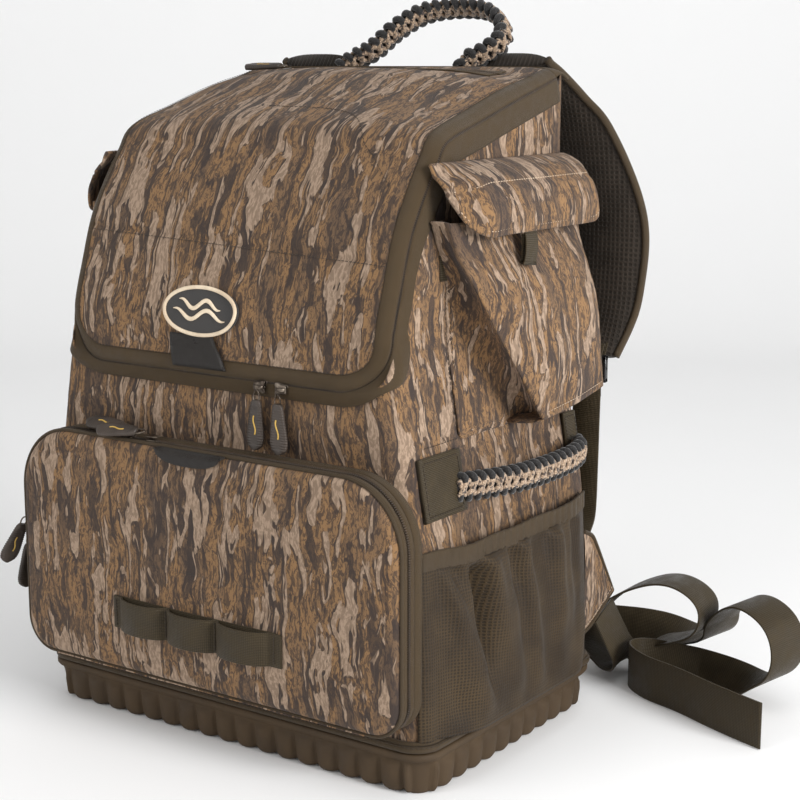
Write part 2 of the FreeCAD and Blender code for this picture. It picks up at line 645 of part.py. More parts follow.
def web_tube(label, route):
    """A plain tube along a webbing's route."""
    wire, radii = rounded_route([Vector(*point) for point in route])
    first = Vector(*route[1]) - Vector(*route[0])
    ring = Part.Wire(Part.Circle(Vector(*route[0]), first, size("tube") / 2).toShape())
    feature = doc.addObject("Part::Feature", label)
    feature.Shape = wire.makePipeShell([ring], True, False)
    expected = math.pi * size("tube") ** 2 / 4 * wire.Length
    print(label, "length", round(wire.Length), "radii", radii, "volume ratio",
          round(feature.Shape.Volume / expected, 4))
    keep(label, feature)


def make_waist_buckle():
    """Side-release buckle on the ground behind the pack, with two arms that press inwards."""
    low, high = "buckle_low", "buckle_low + buckle_tall"
    end = "buckle_end + socket_long"
    front, rear = "buckle_middle - buckle_half", "buckle_middle + buckle_half"
    shell = round_prism("buckle_shell", "XY_Plane", ("buckle_end", end), (front, rear), "5", "5", low, "buckle_tall")
    slot = block("buckle_slot", ("buckle_end + cloth", f"{end} + 9"), (f"{front} + 4", f"{rear} - 4"),
                 (f"{low} + cloth", f"{high} - cloth"))
    windows = block("buckle_windows", ("buckle_end + 12", "buckle_end + 26"), (f"{front} - 9", f"{rear} + 9"),
                    (f"{low} + cloth - play", f"{high} - cloth + play"))
    keep("buckle_socket", cut("buckle_socket_cut", cut("buckle_hollow", shell, slot), windows))
    tongue = block("buckle_tongue", ("buckle_end + 10", f"{end} + 6"), ("buckle_middle - 4", "buckle_middle + 4"),
                   (f"{low} + cloth + play", f"{high} - cloth - play"))
    head = block("buckle_head", (f"{end} + 6", f"{end} + 19"), (f"{front} + 1", f"{rear} - 1"), (low, high))
    bar_room = block("buckle_bar_room", (f"{end} + 9", f"{end} + 16"), (f"{front} + 4", f"{rear} - 4"),
                     (f"{low} - 1", f"{high} + 1"))
    keep("buckle_plug", joined("buckle_plug_join", [tongue, cut("buckle_head_cut", head, bar_room)]))
    for name, y in (("front", (f"{front} - 2", f"{front} + 2")), ("rear", (f"{rear} - 2", f"{rear} + 2"))):
        arm = block(f"buckle_arm_{name}_box", ("buckle_end + 13", "buckle_end + 25"), y,
                    (f"{low} + cloth + play", f"{high} - cloth - play"))
        keep(f"buckle_arm_{name}", arm)


# ---------------------------------------------------------------- zipper sliders and pulls
def slider_and_pull(name, slider_box, pull_plane, pull_x, pull_y, start):
    """A zipper slider with a rounded rubber pull."""
    keep(f"{name}_slider", block(f"{name}_slider_box", *slider_box))
    tag = round_prism(f"{name}_pull_tag", pull_plane, pull_x, pull_y, "4", "3", start, "pull_thick")
    keep(f"{name}_pull", tag)


def make_sliders():
    """Sliders on the lid, on the front pocket and on the flat pocket of the lid."""
    for name, x in (("main_left", 44), ("main_right", 63)):
        box = ((f"{x} - 0.5 * slider_wide", f"{x} + 0.5 * slider_wide"),
               ("-half_depth - play - slider_thick - 1", "-half_depth - play - 1"),
               ("zip_line - slider_long + 2", "zip_line + 2"))
        slider_and_pull(name, box, "XZ_Plane", (f"{x} - 0.5 * pull_wide", f"{x} + 0.5 * pull_wide"),
                        ("zip_line - 4 - pull_long", "zip_line - 4"),
                        "half_depth + 2 * play + 1 + slider_thick")
    for name, x, y in (("pocket_left", -74, ("-136", "-125")), ("pocket_right", -50, ("-148.5", "-137.5"))):
        box = ((f"{x} - 0.5 * slider_long", f"{x} + 0.5 * slider_long"),
               ("-pocket_face + 2", "-pocket_zip + 7"),
               ("pocket_high + play", "pocket_high + play + slider_thick"))
        slider_and_pull(name, box, "XY_Plane", (f"{x} - 3 - pull_long", f"{x} - 3"), y,
                        "pocket_high + 2 * play + slider_thick")
    for name, z, start in (("side_upper", 160, "134"), ("side_lower", 134, "121")):
        box = (("-pocket_half - 2 * play - web_thick - slider_thick", "-pocket_half - 2 * play - web_thick"),
               ("-pocket_zip + 3", "-half_depth - 3"), (f"{z} - 0.5 * slider_long", f"{z} + 0.5 * slider_long"))
        keep(f"{name}_slider", block(f"{name}_slider_box", *box))
        outer = "-pocket_half - 3 * play - web_thick - slider_thick"
        tag = round_prism(f"{name}_pull_tag", "XZ_Plane", (f"{outer} - pull_thick", outer),
                          (f"{z} - pull_long", f"{z} - 2"), "1", "1", start, "pull_wide")
        keep(f"{name}_pull", tag)
    keep("side_zipper_tape", block("side_zipper_box", ("-pocket_half - web_thick", "-pocket_half"),
                                   ("-pocket_zip + 2", "-half_depth - 1"), ("92", "178")))
    slider_and_pull("lid_pocket", (("-98", "-88"), ("74.5", "83.5"), ("493", "497")), "XY_Plane",
                    ("-138", "-91"), ("74", "84"), "497.5")


def check_and_write():
    """Stop on any failed feature, then write one file for each sub-part."""
    doc.recompute()
    for thing in doc.Objects:
        if "Invalid" in thing.State or "Error" in thing.State:
            raise RuntimeError(f"{thing.Name} failed: {thing.State}")
    for label, thing in nodes.items():
        if thing.Shape.isNull() or not thing.Shape.isValid() or thing.Shape.Volume <= 0:
            raise RuntimeError(f"{label} has no valid solid")
    os.makedirs("parts", exist_ok=True)
    for label, thing in nodes.items():
        thing.Shape.exportStep(f"parts/{label}.step")
    print(len(nodes), "sub-parts written")


make_base_tub()
make_base_binding()
make_floor_board()
make_body_walls()
make_back_parts()
make_lid()
make_lid_trim()
make_front_pocket()
make_daisy_chain()
make_side_pouch()
make_side_flap()
make_mesh_pocket()
make_side_handles()
make_top_handle()
make_shoulder_straps()
make_wings()
web_tube("waist_webbing_right", RIGHT_WEB_ROUTE)
web_tube("waist_webbing_left", LEFT_WEB_ROUTE)
make_waist_buckle()
make_sliders()
check_and_write()
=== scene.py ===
"""Gear backpack on a moulded tub: its looks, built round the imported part.

Lengths inside the functions are millimetres in the part's own frame, and each mesh is made in
metres.  +X is the right-hand side seen from the front, -Y is the front and +Z is up.
"""

import math

import bpy
import numpy as np
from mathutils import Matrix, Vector


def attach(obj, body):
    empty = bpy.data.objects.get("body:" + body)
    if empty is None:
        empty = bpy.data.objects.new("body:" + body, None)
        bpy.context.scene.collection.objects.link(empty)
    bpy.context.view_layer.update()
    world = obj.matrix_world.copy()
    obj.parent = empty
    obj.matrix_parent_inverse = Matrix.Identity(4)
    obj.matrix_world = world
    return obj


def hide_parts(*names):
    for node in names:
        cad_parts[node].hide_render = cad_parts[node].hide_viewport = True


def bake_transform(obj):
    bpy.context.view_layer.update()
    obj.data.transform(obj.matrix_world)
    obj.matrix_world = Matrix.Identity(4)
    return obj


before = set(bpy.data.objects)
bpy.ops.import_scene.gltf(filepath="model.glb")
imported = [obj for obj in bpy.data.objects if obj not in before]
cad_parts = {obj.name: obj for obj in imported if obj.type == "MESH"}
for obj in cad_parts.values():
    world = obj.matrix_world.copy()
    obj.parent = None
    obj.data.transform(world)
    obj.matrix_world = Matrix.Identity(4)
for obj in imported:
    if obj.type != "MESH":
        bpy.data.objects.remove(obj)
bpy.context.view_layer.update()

MM = 0.001
TURN = 2 * math.pi


# ---------------------------------------------------------------- camera
CAMERA_SPOT = (0.8056, -1.0394, 0.50305)
CAMERA_TURN = 35.01
CAMERA_DIP = 11.11
CAMERA_LENS = 76.5


def make_camera():
    """The view of the pack from its front right corner, a little above it."""
    data = bpy.data.cameras.new("camera")
    data.lens = CAMERA_LENS
    data.sensor_width = 36
    camera = bpy.data.objects.new("camera", data)
    bpy.context.scene.collection.objects.link(camera)
    camera.location = CAMERA_SPOT
    camera.rotation_euler = (math.radians(90 - CAMERA_DIP), 0, math.radians(CAMERA_TURN))
    bpy.context.scene.camera = camera


# ---------------------------------------------------------------- material recipes
class Recipe:
    """One node material, built a node at a time."""

    def __init__(self, name):
        self.material = bpy.data.materials.new(name)
        self.material.use_nodes = True
        self.tree = self.material.node_tree
        self.tree.nodes.clear()

    def add(self, kind, inputs=None, **settings):
        """A node, with its settings and what feeds it."""
        node = self.tree.nodes.new("ShaderNode" + kind)
        for key, setting in settings.items():
            setattr(node, key, setting)
        for key, given in (inputs or {}).items():
            if isinstance(given, bpy.types.NodeSocket):
                self.tree.links.new(given, node.inputs[key])
            else:
                node.inputs[key].default_value = given
        return node

    def cloth(self):
        """Coordinates that were laid out on the flat cloth, in metres."""
        return self.add("Attribute", attribute_name="cloth_m").outputs["Vector"]

    def solid(self):
        """Coordinates fixed in the piece, in metres."""
        return self.add("TexCoord").outputs["Object"]

    def stretched(self, vector, scale, shift=(0, 0, 0)):
        """Coordinates scaled and shifted along each axis."""
        return self.add("Mapping", {"Vector": vector, "Scale": scale, "Location": shift}).outputs[0]

    def noise(self, vector, scale, detail=2.0, roughness=0.5, distortion=0.0):
        """Soft random spots."""
        node = self.add("TexNoise", {"Vector": vector, "Scale": scale, "Detail": detail,
                                     "Roughness": roughness, "Distortion": distortion})
        return node.outputs["Fac"]

    def waves(self, vector, scale, axis="X"):
        """Parallel bands across an axis."""
        node = self.add("TexWave", {"Vector": vector, "Scale": scale, "Distortion": 0.0},
                        bands_direction=axis)
        return node.outputs["Fac"]

    def ramp(self, factor, stops):
        """Colours along a value."""
        node = self.add("ValToRGB", {"Fac": factor})
        points = node.color_ramp.elements
        while len(points) < len(stops):
            points.new(0.5)
        for point, (place, colour) in zip(points, stops):
            point.position = place
            point.color = (*colour, 1) if len(colour) == 3 else colour
        return node.outputs["Color"]

    def gate(self, factor, low, high):
        """0 below low, 1 above high."""
        node = self.add("MapRange", {"Value": factor, "From Min": low, "From Max": high},
                        interpolation_type="SMOOTHSTEP")
        return node.outputs["Result"]

    def maths(self, operation, a, b=0.0):
        """One sum on two values."""
        node = self.add("Math", operation=operation)
        for socket, given in zip(node.inputs, (a, b)):
            if isinstance(given, bpy.types.NodeSocket):
                self.tree.links.new(given, socket)
            else:
                socket.default_value = given
        return node.outputs[0]

    def mix(self, factor, a, b):
        """Two colours mixed by a share."""
        node = self.add("Mix", data_type="RGBA")
        for socket, given in ((node.inputs[0], factor), (node.inputs[6], a), (node.inputs[7], b)):
            if isinstance(given, bpy.types.NodeSocket):
                self.tree.links.new(given, socket)
            else:
                socket.default_value = given if isinstance(given, float) else (*given, 1)
        return node.outputs[2]

    def surface(self, colour, roughness, height, strength=0.4, depth=0.0004, **fixed):
        """Close the recipe with a bumped principled shader."""
        bump = self.add("Bump", {"Height": height, "Strength": strength, "Distance": depth})
        shader = self.add("BsdfPrincipled", {"Base Color": colour, "Roughness": roughness,
                                             "Normal": bump.outputs[0]})
        for key, number in fixed.items():
            shader.inputs[key.replace("_", " ")].default_value = number
        out = self.add("OutputMaterial")
        self.tree.links.new(shader.outputs[0], out.inputs[0])
        return self.material


PALE_BARK = (0.345, 0.248, 0.176)
DULL_BARK = (0.215, 0.150, 0.104)
TAN_BARK = (0.250, 0.142, 0.066)
MID_BARK = (0.166, 0.102, 0.058)
BROWN_BARK = (0.090, 0.059, 0.041)
DARK_BARK = (0.043, 0.032, 0.028)


def camo_fabric():
    """Bark print: dark furrows, brown bark with fine cracks, and long pale ragged strips."""
    r = Recipe("camo_fabric")
    flat = r.cloth()
    drift = r.add("TexNoise", {"Vector": flat, "Scale": 26.0, "Detail": 2.0}).outputs["Color"]
    centred = r.add("VectorMath", {0: drift, 1: (0.5, 0.5, 0.5)}, operation="SUBTRACT").outputs[0]
    sway = r.add("VectorMath", {0: centred, "Scale": 0.016}, operation="SCALE").outputs[0]
    bent = r.add("VectorMath", {0: flat, 1: sway}, operation="ADD").outputs[0]
    long_grain = r.stretched(bent, (1.0, 0.17, 1.0))
    short_grain = r.stretched(bent, (1.0, 0.36, 1.0))

    patches = r.noise(long_grain, 38.0, 2.0, 0.5)
    ground = r.ramp(patches, ((0.32, BROWN_BARK), (0.41, MID_BARK), (0.49, TAN_BARK), (0.70, MID_BARK)))
    grain = r.noise(short_grain, 360.0, 3.0, 0.6, 0.8)
    cracks = r.gate(grain, 0.50, 0.58)
    fine_cracks = r.gate(r.noise(short_grain, 760.0, 2.0, 0.6, 0.6), 0.53, 0.60)
    cracks = r.maths("MAXIMUM", cracks, r.maths("MULTIPLY", fine_cracks, 0.8))
    cracked = r.mix(r.maths("MULTIPLY", cracks, 0.78), ground, DARK_BARK)

    furrow_noise = r.noise(r.stretched(long_grain, (1, 1, 1), (3.1, 1.7, 0)), 105.0, 3.0, 0.55, 0.6)
    furrows = r.gate(furrow_noise, 0.545, 0.585)
    furrowed = r.mix(r.maths("MULTIPLY", furrows, 0.82), cracked, DARK_BARK)
    split_noise = r.noise(r.stretched(bent, (1.0, 0.10, 1.0), (2.7, 5.3, 0)), 300.0, 2.0, 0.5, 0.4)
    splits = r.gate(split_noise, 0.57, 0.62)
    furrowed = r.mix(r.maths("MULTIPLY", splits, 0.6), furrowed, DARK_BARK)

    strip_noise = r.noise(r.stretched(long_grain, (1, 1, 1), (7.3, 4.1, 0)), 92.0, 3.0, 0.54, 0.8)
    shade_noise = r.noise(r.stretched(long_grain, (1, 1, 1), (7.3013, 4.1005, 0)), 92.0, 3.0, 0.54, 0.8)
    shades = r.gate(shade_noise, 0.535, 0.56)
    shaded = r.mix(r.maths("MULTIPLY", shades, 0.75), furrowed, DARK_BARK)
    strips = r.gate(strip_noise, 0.548, 0.566)
    speckle = r.noise(short_grain, 520.0, 2.0, 0.6)
    pale = r.mix(r.gate(speckle, 0.40, 0.62), DULL_BARK, PALE_BARK)
    print_colour = r.mix(strips, shaded, pale)

    weave = r.maths("MULTIPLY", r.waves(flat, 900.0, "X"), r.waves(flat, 900.0, "Y"))
    fuzz = r.noise(flat, 1400.0, 2.0)
    height = r.maths("ADD", weave, fuzz)
    rough = r.gate(fuzz, -1.2, 1.6)
    return r.surface(print_colour, r.maths("MULTIPLY", rough, 1.45), height, 0.35, 0.0003,
                     Sheen_Weight=0.06, Sheen_Roughness=0.5, Specular_IOR_Level=0.2)


def woven(name, dark, light, rib, twill=0.0, rough=0.75, slant=0.0):
    """Ribbed weave: webbing across its width, or twill tape when slanted."""
    r = Recipe(name)
    flat = r.cloth()
    turned = r.add("Mapping", {"Vector": flat, "Rotation": (0, 0, slant)}).outputs[0]
    across = r.waves(turned, rib, "X")
    along = r.waves(turned, rib * 0.8, "Y")
    grid = r.maths("MULTIPLY", across, r.maths("ADD", along, twill))
    wear = r.noise(flat, 60.0, 4.0, 0.6)
    tone = r.maths("ADD", r.maths("MULTIPLY", grid, 0.45), r.maths("MULTIPLY", wear, 0.55))
    colour = r.mix(r.gate(tone, 0.2, 0.75), dark, light)
    fibre = r.noise(flat, 1800.0, 2.0)
    height = r.maths("ADD", grid, r.maths("MULTIPLY", fibre, 0.4))
    return r.surface(colour, r.gate(wear, 0.5 - rough, 1.25), height, 0.55, 0.0005,
                     Sheen_Weight=0.05, Sheen_Roughness=0.4, Specular_IOR_Level=0.2)


def mesh_fabric(name, dark, light, cell, strength):
    """Knitted mesh: rows of small open cells, with painted shade darkening the openings."""
    r = Recipe(name)
    flat = r.cloth()
    cells = r.add("TexVoronoi", {"Vector": flat, "Scale": cell, "Randomness": 0.12}).outputs["Distance"]
    cell_relief_and_hole_shade = r.gate(cells, 0.28, 0.42)
    drift = r.noise(flat, 25.0, 3.0, 0.5)
    tone = r.mix(r.gate(drift, 0.3, 0.7), dark, light)
    # painted shade: the open cells are mixed towards near black, standing for the shade behind the mesh
    colour = r.mix(r.maths("MULTIPLY", r.maths("SUBTRACT", 1.0, cell_relief_and_hole_shade), 0.62), tone, (0.012, 0.009, 0.006))
    return r.surface(colour, r.gate(drift, -1.0, 1.4), cell_relief_and_hole_shade, strength, 0.0006,
                     Sheen_Weight=0.06, Sheen_Roughness=0.4, Specular_IOR_Level=0.25)


def moulded(name, dark, light, rough, grain, strength, **fixed):
    """Moulded rubber or plastic with a fine cast grain and handled patches."""
    r = Recipe(name)
    place = r.solid()
    wear = r.noise(place, 35.0, 4.0, 0.6)
    fine = r.noise(place, grain, 3.0, 0.6)
    colour = r.mix(r.gate(wear, 0.35, 0.68), dark, light)
    rough_now = r.maths("ADD", r.maths("MULTIPLY", wear, 0.2), rough - 0.1)
    return r.surface(colour, rough_now, fine, strength, 0.0003, **fixed)


def tub_rubber():
    """Moulded tub: a fine crossed texture, paler where the ribs are rubbed."""
    r = Recipe("tub_rubber")
    place = r.cloth()
    turned = r.add("Mapping", {"Vector": place, "Rotation": (0, 0, math.radians(45))}).outputs[0]
    hatch = r.maths("MULTIPLY", r.waves(turned, 420.0, "X"), r.waves(turned, 420.0, "Y"))
    wear = r.noise(r.solid(), 30.0, 5.0, 0.6)
    tone = r.maths("ADD", r.maths("MULTIPLY", hatch, 0.25), r.maths("MULTIPLY", wear, 0.75))
    colour = r.mix(r.gate(tone, 0.25, 0.7), (0.046, 0.028, 0.013), (0.078, 0.050, 0.026))
    return r.surface(colour, r.gate(wear, -0.8, 1.3), hatch, 0.5, 0.0004, Specular_IOR_Level=0.28)


def braided(name, dark, light, fleck=None):
    """Braided cord sheath; fleck colours some of its yarns dark."""
    r = Recipe(name)
    place = r.solid()
    yarns = r.add("TexVoronoi", {"Vector": place, "Scale": 620.0, "Randomness": 0.7})
    tone = r.mix(r.gate(yarns.outputs["Distance"], 0.1, 0.6), light, dark)
    if fleck:
        tone = r.mix(r.gate(r.noise(place, 420.0, 1.0), 0.55, 0.60), tone, fleck)
    soft = r.noise(place, 900.0, 2.0)
    return r.surface(tone, r.gate(soft, -1.0, 1.3), yarns.outputs["Distance"], 0.6, 0.0005,
                     Sheen_Weight=0.3, Specular_IOR_Level=0.3)


def metal(name, dark, light):
    """Painted zinc, rubbed bright on its edges."""
    r = Recipe(name)
    place = r.solid()
    wear = r.noise(place, 160.0, 4.0, 0.6)
    colour = r.mix(r.gate(wear, 0.4, 0.7), dark, light)
    return r.surface(colour, r.gate(wear, -0.3, 1.6), r.noise(place, 1500.0, 2.0), 0.25, 0.0002,
                     Metallic=0.85)


MATERIALS = {
    "camo_fabric": camo_fabric(),
    "trim_fabric": woven("trim_fabric", (0.042, 0.027, 0.012), (0.075, 0.049, 0.024), 620.0, 0.6, 0.75, 0.8),
    "webbing": woven("webbing", (0.024, 0.017, 0.008), (0.062, 0.045, 0.023), 260.0, 0.3),
    "binding": woven("binding", (0.036, 0.024, 0.012), (0.070, 0.047, 0.025), 420.0, 0.4),
    "black_webbing": woven("black_webbing", (0.012, 0.010, 0.009), (0.030, 0.026, 0.023), 500.0, 0.8, 0.6),
    "mesh": mesh_fabric("mesh", (0.026, 0.015, 0.006), (0.056, 0.036, 0.017), 420.0, 0.7),
    "spacer_mesh": mesh_fabric("spacer_mesh", (0.018, 0.013, 0.009), (0.040, 0.030, 0.022), 260.0, 0.9),
    "paracord_black": braided("paracord_black", (0.006, 0.005, 0.005), (0.022, 0.020, 0.019)),
    "paracord_tan": braided("paracord_tan", (0.26, 0.18, 0.12), (0.50, 0.37, 0.26), (0.05, 0.035, 0.028)),
    "tub_rubber": tub_rubber(),
    "pull_rubber": moulded("pull_rubber", (0.030, 0.021, 0.015), (0.056, 0.040, 0.030), 0.55, 1200.0, 0.3),
    "pull_mark": moulded("pull_mark", (0.48, 0.29, 0.05), (0.66, 0.43, 0.10), 0.5, 1500.0, 0.2),
    "badge": moulded("badge", (0.010, 0.008, 0.007), (0.022, 0.019, 0.017), 0.7, 1600.0, 0.5,
                     Sheen_Weight=0.3),
    "badge_thread": moulded("badge_thread", (0.60, 0.47, 0.33), (0.80, 0.67, 0.50), 0.75, 1800.0, 0.6),
    "pale_thread": moulded("pale_thread", (0.36, 0.27, 0.19), (0.52, 0.41, 0.30), 0.7, 2000.0, 0.5),
    "dark_thread": moulded("dark_thread", (0.022, 0.015, 0.010), (0.050, 0.034, 0.022), 0.7, 2000.0, 0.5),
    "zip_teeth": moulded("zip_teeth", (0.030, 0.019, 0.012), (0.070, 0.046, 0.029), 0.45, 2000.0, 0.2),
    "slider_metal": metal("slider_metal", (0.060, 0.045, 0.034), (0.20, 0.165, 0.130)),
    "black_plastic": moulded("black_plastic", (0.008, 0.008, 0.009), (0.020, 0.020, 0.022), 0.28, 900.0, 0.12,
                             Coat_Weight=0.25, Coat_Roughness=0.2),
    "board": moulded("board", (0.20, 0.19, 0.17), (0.30, 0.285, 0.26), 0.6, 700.0, 0.3),
}


# ---------------------------------------------------------------- mesh helpers
def finish_piece(obj, body, material, stands_for=(), slot=None, skin=0.0, smooth=0):
    """Give a piece its material, thickness and body."""
    names = [material] if isinstance(material, str) else list(material)
    for name in names:
        obj.data.materials.append(MATERIALS[name])
    if skin:
        shell = obj.modifiers.new("thickness", "SOLIDIFY")
        shell.thickness = skin * MM
        shell.offset = -1
    if smooth:
        rounder = obj.modifiers.new("smooth", "SUBSURF")
        rounder.levels = smooth
        rounder.render_levels = smooth
    if body:
        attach(obj, body)
    if stands_for:
        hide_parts(*stands_for)
    return obj


def raw_mesh(name, spots, faces, cloth=None, face_slots=None):
    """A smooth-shaded mesh from millimetre points, with flat-cloth coordinates if it has them."""
    mesh = bpy.data.meshes.new(name)
    mesh.from_pydata((np.asarray(spots, float) * MM).tolist(), [], faces)
    if cloth is not None:
        flat = np.zeros((len(spots), 3), np.float32)
        flat[:, :np.shape(cloth)[1]] = np.asarray(cloth, float) * MM
        mesh.attributes.new("cloth_m", "FLOAT_VECTOR", "POINT").data.foreach_set("vector", flat.ravel())
    mesh.polygons.foreach_set("use_smooth", [True] * len(mesh.polygons))
    if face_slots is not None:
        mesh.polygons.foreach_set("material_index", face_slots)
    mesh.validate()
    mesh.update()
    obj = bpy.data.objects.new(name, mesh)
    bpy.context.scene.collection.objects.link(obj)
    return obj


def grid_faces(rows, columns, round_rows=False, round_columns=False):
    """Quads of a grid of points, row after row."""
    faces = []
    for i in range(rows if round_rows else rows - 1):
        for j in range(columns if round_columns else columns - 1):
            here, after = i * columns, (i + 1) % rows * columns
            ahead = (j + 1) % columns
            faces.append((here + j, here + ahead, after + ahead, after + j))
    return faces


def grid_piece(name, grid, cloth, body, material, round_columns=False, flip=False, **more):
    """One sheet of cloth from a grid of points and its flat coordinates."""
    rows, columns = np.shape(grid)[:2]
    faces = grid_faces(rows, columns, round_columns=round_columns)
    if flip:
        faces = [face[::-1] for face in faces]
    obj = raw_mesh(name, np.reshape(grid, (-1, 3)), faces, np.reshape(cloth, (-1, np.shape(cloth)[-1])))
    return finish_piece(obj, body, material, **more)


def tangents(path, closed=False):
    """Which way a line of points runs at each of them."""
    path = np.asarray(path, float)
    if closed:
        ahead, behind = np.roll(path, -1, 0), np.roll(path, 1, 0)
    else:
        ahead = np.vstack((path[1:], path[-1:]))
        behind = np.vstack((path[:1], path[:-1]))
    step = ahead - behind
    return step / np.maximum(np.linalg.norm(step, axis=1, keepdims=True), 1e-9)


def unit(vectors):
    """The same directions with length one."""
    vectors = np.asarray(vectors, float)
    return vectors / np.maximum(np.linalg.norm(vectors, axis=-1, keepdims=True), 1e-9)


def resample(path, spacing, closed=False):
    """Points spread evenly along a line of points."""
    path = np.asarray(path, float)
    if closed:
        path = np.vstack((path, path[:1]))
    run = np.concatenate(([0], np.cumsum(np.linalg.norm(np.diff(path, axis=0), axis=1))))
    count = max(2, int(round(run[-1] / spacing)) + 1)
    marks = np.linspace(0, run[-1], count)
    if closed:
        marks = marks[:-1]
    return np.stack([np.interp(marks, run, path[:, k]) for k in range(path.shape[1])], 1)


def curved(points, spacing=2.0, closed=False):
    """A smooth line through a few given points, spread evenly."""
    points = np.asarray(points, float)
    count = len(points)
    dense = []
    for i in range(count if closed else count - 1):
        p0 = points[i - 1] if closed or i else 2 * points[0] - points[1]
        p1, p2 = points[i], points[(i + 1) % count]
        p3 = points[(i + 2) % count] if closed or i + 2 < count else 2 * points[-1] - points[-2]
        for t in np.linspace(0, 1, 12, endpoint=False):
            dense.append(0.5 * (2 * p1 + (p2 - p0) * t + (2 * p0 - 5 * p1 + 4 * p2 - p3) * t ** 2
                                + (3 * p1 - p0 - 3 * p2 + p3) * t ** 3))
    if not closed:
        dense.append(points[-1])
    return resample(dense, spacing, closed)


def sweep(path, across, section, closed=False, caps=True):
    """Points and faces of a closed section carried along a path.

    section holds (along 'across', along the third direction) pairs, one set for all or one each."""
    path = np.asarray(path, float)
    forward = tangents(path, closed)
    side = np.broadcast_to(np.asarray(across, float), path.shape)
    side = unit(side - np.sum(side * forward, 1, keepdims=True) * forward)
    third = np.cross(forward, side)
    section = np.asarray(section, float)
    if section.ndim == 2:
        section = np.broadcast_to(section, (len(path),) + section.shape)
    spots = (path[:, None] + side[:, None] * section[:, :, :1] + third[:, None] * section[:, :, 1:2])
    count = section.shape[1]
    faces = grid_faces(len(path), count, round_rows=closed, round_columns=True)
    if caps and not closed:
        faces.append(tuple(range(count))[::-1])
        faces.append(tuple((len(path) - 1) * count + k for k in range(count)))
    run = np.concatenate(([0], np.cumsum(np.linalg.norm(np.diff(path, axis=0), axis=1))))
    girth = np.concatenate(([0], np.cumsum(np.linalg.norm(np.diff(section[0], axis=0), axis=1))))
    cloth = np.stack(np.meshgrid(run, girth, indexing="ij")[::-1], -1)
    return spots.reshape(-1, 3), faces, cloth.reshape(-1, 2)


def oval(width, height, count=10):
    """An oval section."""
    turn = np.linspace(0, TURN, count, endpoint=False)
    return np.stack((0.5 * width * np.cos(turn), 0.5 * height * np.sin(turn)), 1)


def slab(width, height, corner=0.4, count=3):
    """A thin rectangle with rounded corners."""
    spots = []
    for cx, cy, start in ((1, 1, 0), (-1, 1, 90), (-1, -1, 180), (1, -1, 270)):
        for turn in np.radians(np.linspace(start, start + 90, count)):
            spots.append((cx * (width / 2 - corner) + corner * math.cos(turn),
                          cy * (height / 2 - corner) + corner * math.sin(turn)))
    return np.array(spots)


class Heap:
    """Many small shapes gathered into one mesh."""

    def __init__(self):
        self.spots, self.faces, self.cloth, self.slots = [], [], [], []

    def put(self, spots, faces, cloth=None, slot=0):
        """Add corners and faces, their cloth coordinates and their look."""
        start = sum(len(s) for s in self.spots)
        self.spots.append(np.asarray(spots, float))
        self.cloth.append(np.asarray(spots if cloth is None else cloth, float)[:, :2])
        self.faces += [tuple(start + k for k in face) for face in faces]
        self.slots += [slot] * len(faces)

    def piece(self, name, body, material, **more):
        """Make one piece of everything added so far."""
        obj = raw_mesh(name, np.vstack(self.spots), self.faces, np.vstack(self.cloth), self.slots)
        return finish_piece(obj, body, material, **more)


def tube(heap, path, across, width, height=None, closed=False, count=10, slot=0):
    """A round or oval cord along a line, added to a heap."""
    heap.put(*sweep(path, across, oval(width, height or width, count), closed), slot)


def stitches(heap, path, normal, pitch=3.4, long=2.3, thick=0.7, rise=0.35):
    """Short thread runs laid along a line, each dipping into the cloth at its ends."""
    path = resample(path, pitch / 2)
    normal = np.broadcast_to(np.asarray(normal, float), path.shape) if np.ndim(normal) == 1 else None
    forward = tangents(path)
    for i in range(1, len(path) - 1, 2):
        up = normal[i] if normal is not None else np.array((0, 0, 1.0))
        side = unit(np.cross(up, forward[i]))
        ends = np.linspace(-0.5, 0.5, 4)
        lift = rise * np.array((-0.6, 1.0, 1.0, -0.6))
        run = path[i] + forward[i] * (ends * long)[:, None] + up * lift[:, None]
        heap.put(*sweep(run, side, oval(thick, thick, 5)))


def ripple(u, v, size, height, seed=0.0):
    """Soft uneven cloth surface: a few slow waves that never line up."""
    total = np.zeros(np.broadcast(u, v).shape)
    for k in range(5):
        turn = 2.399 * k + seed
        stretch = size * (0.7 + 0.23 * k)
        total = total + np.sin((u * math.cos(turn) + v * math.sin(turn)) * TURN / stretch
                               + 3.7 * k + seed * 5)
    return total * height / 5


def hump(distance, reach):
    """1 on a line, fading out over its reach."""
    return np.exp(-(np.asarray(distance) / reach) ** 2)


def ease(x):
    """0 to 1 with a soft start and a soft stop."""
    x = np.clip(x, 0, 1)
    return x * x * (3 - 2 * x)


# ---------------------------------------------------------------- waist webbing
RIGHT_WEB_ROUTE = ((172.5, 157, 63), (180, 165, 40), (186, 174, 18), (168, 184, 8), (142, 190, 22),
                   (148, 192, 50), (180, 192, 76), (220, 190, 92), (252, 190, 78), (248, 194, 50),
                   (218, 202, 34), (190, 212, 24), (178, 216, 12))
LEFT_WEB_ROUTE = ((-172.5, 157, 63), (-182, 172, 40), (-168, 192, 19), (-120, 196, 19), (-60, 188, 19),
                  (0, 196, 19), (60, 214, 19), (112, 238, 19), (166, 250, 19), (212, 248, 20),
                  (246, 226, 36), (258, 202, 64), (288, 186, 88), (322, 178, 74), (326, 180, 38),
                  (300, 190, 14), (262, 200, 10), (228, 196, 14), (196, 186, 18), (190, 164, 19),
                  (216, 142, 19), (254, 132, 19), (296, 112, 19), (338, 98, 19))
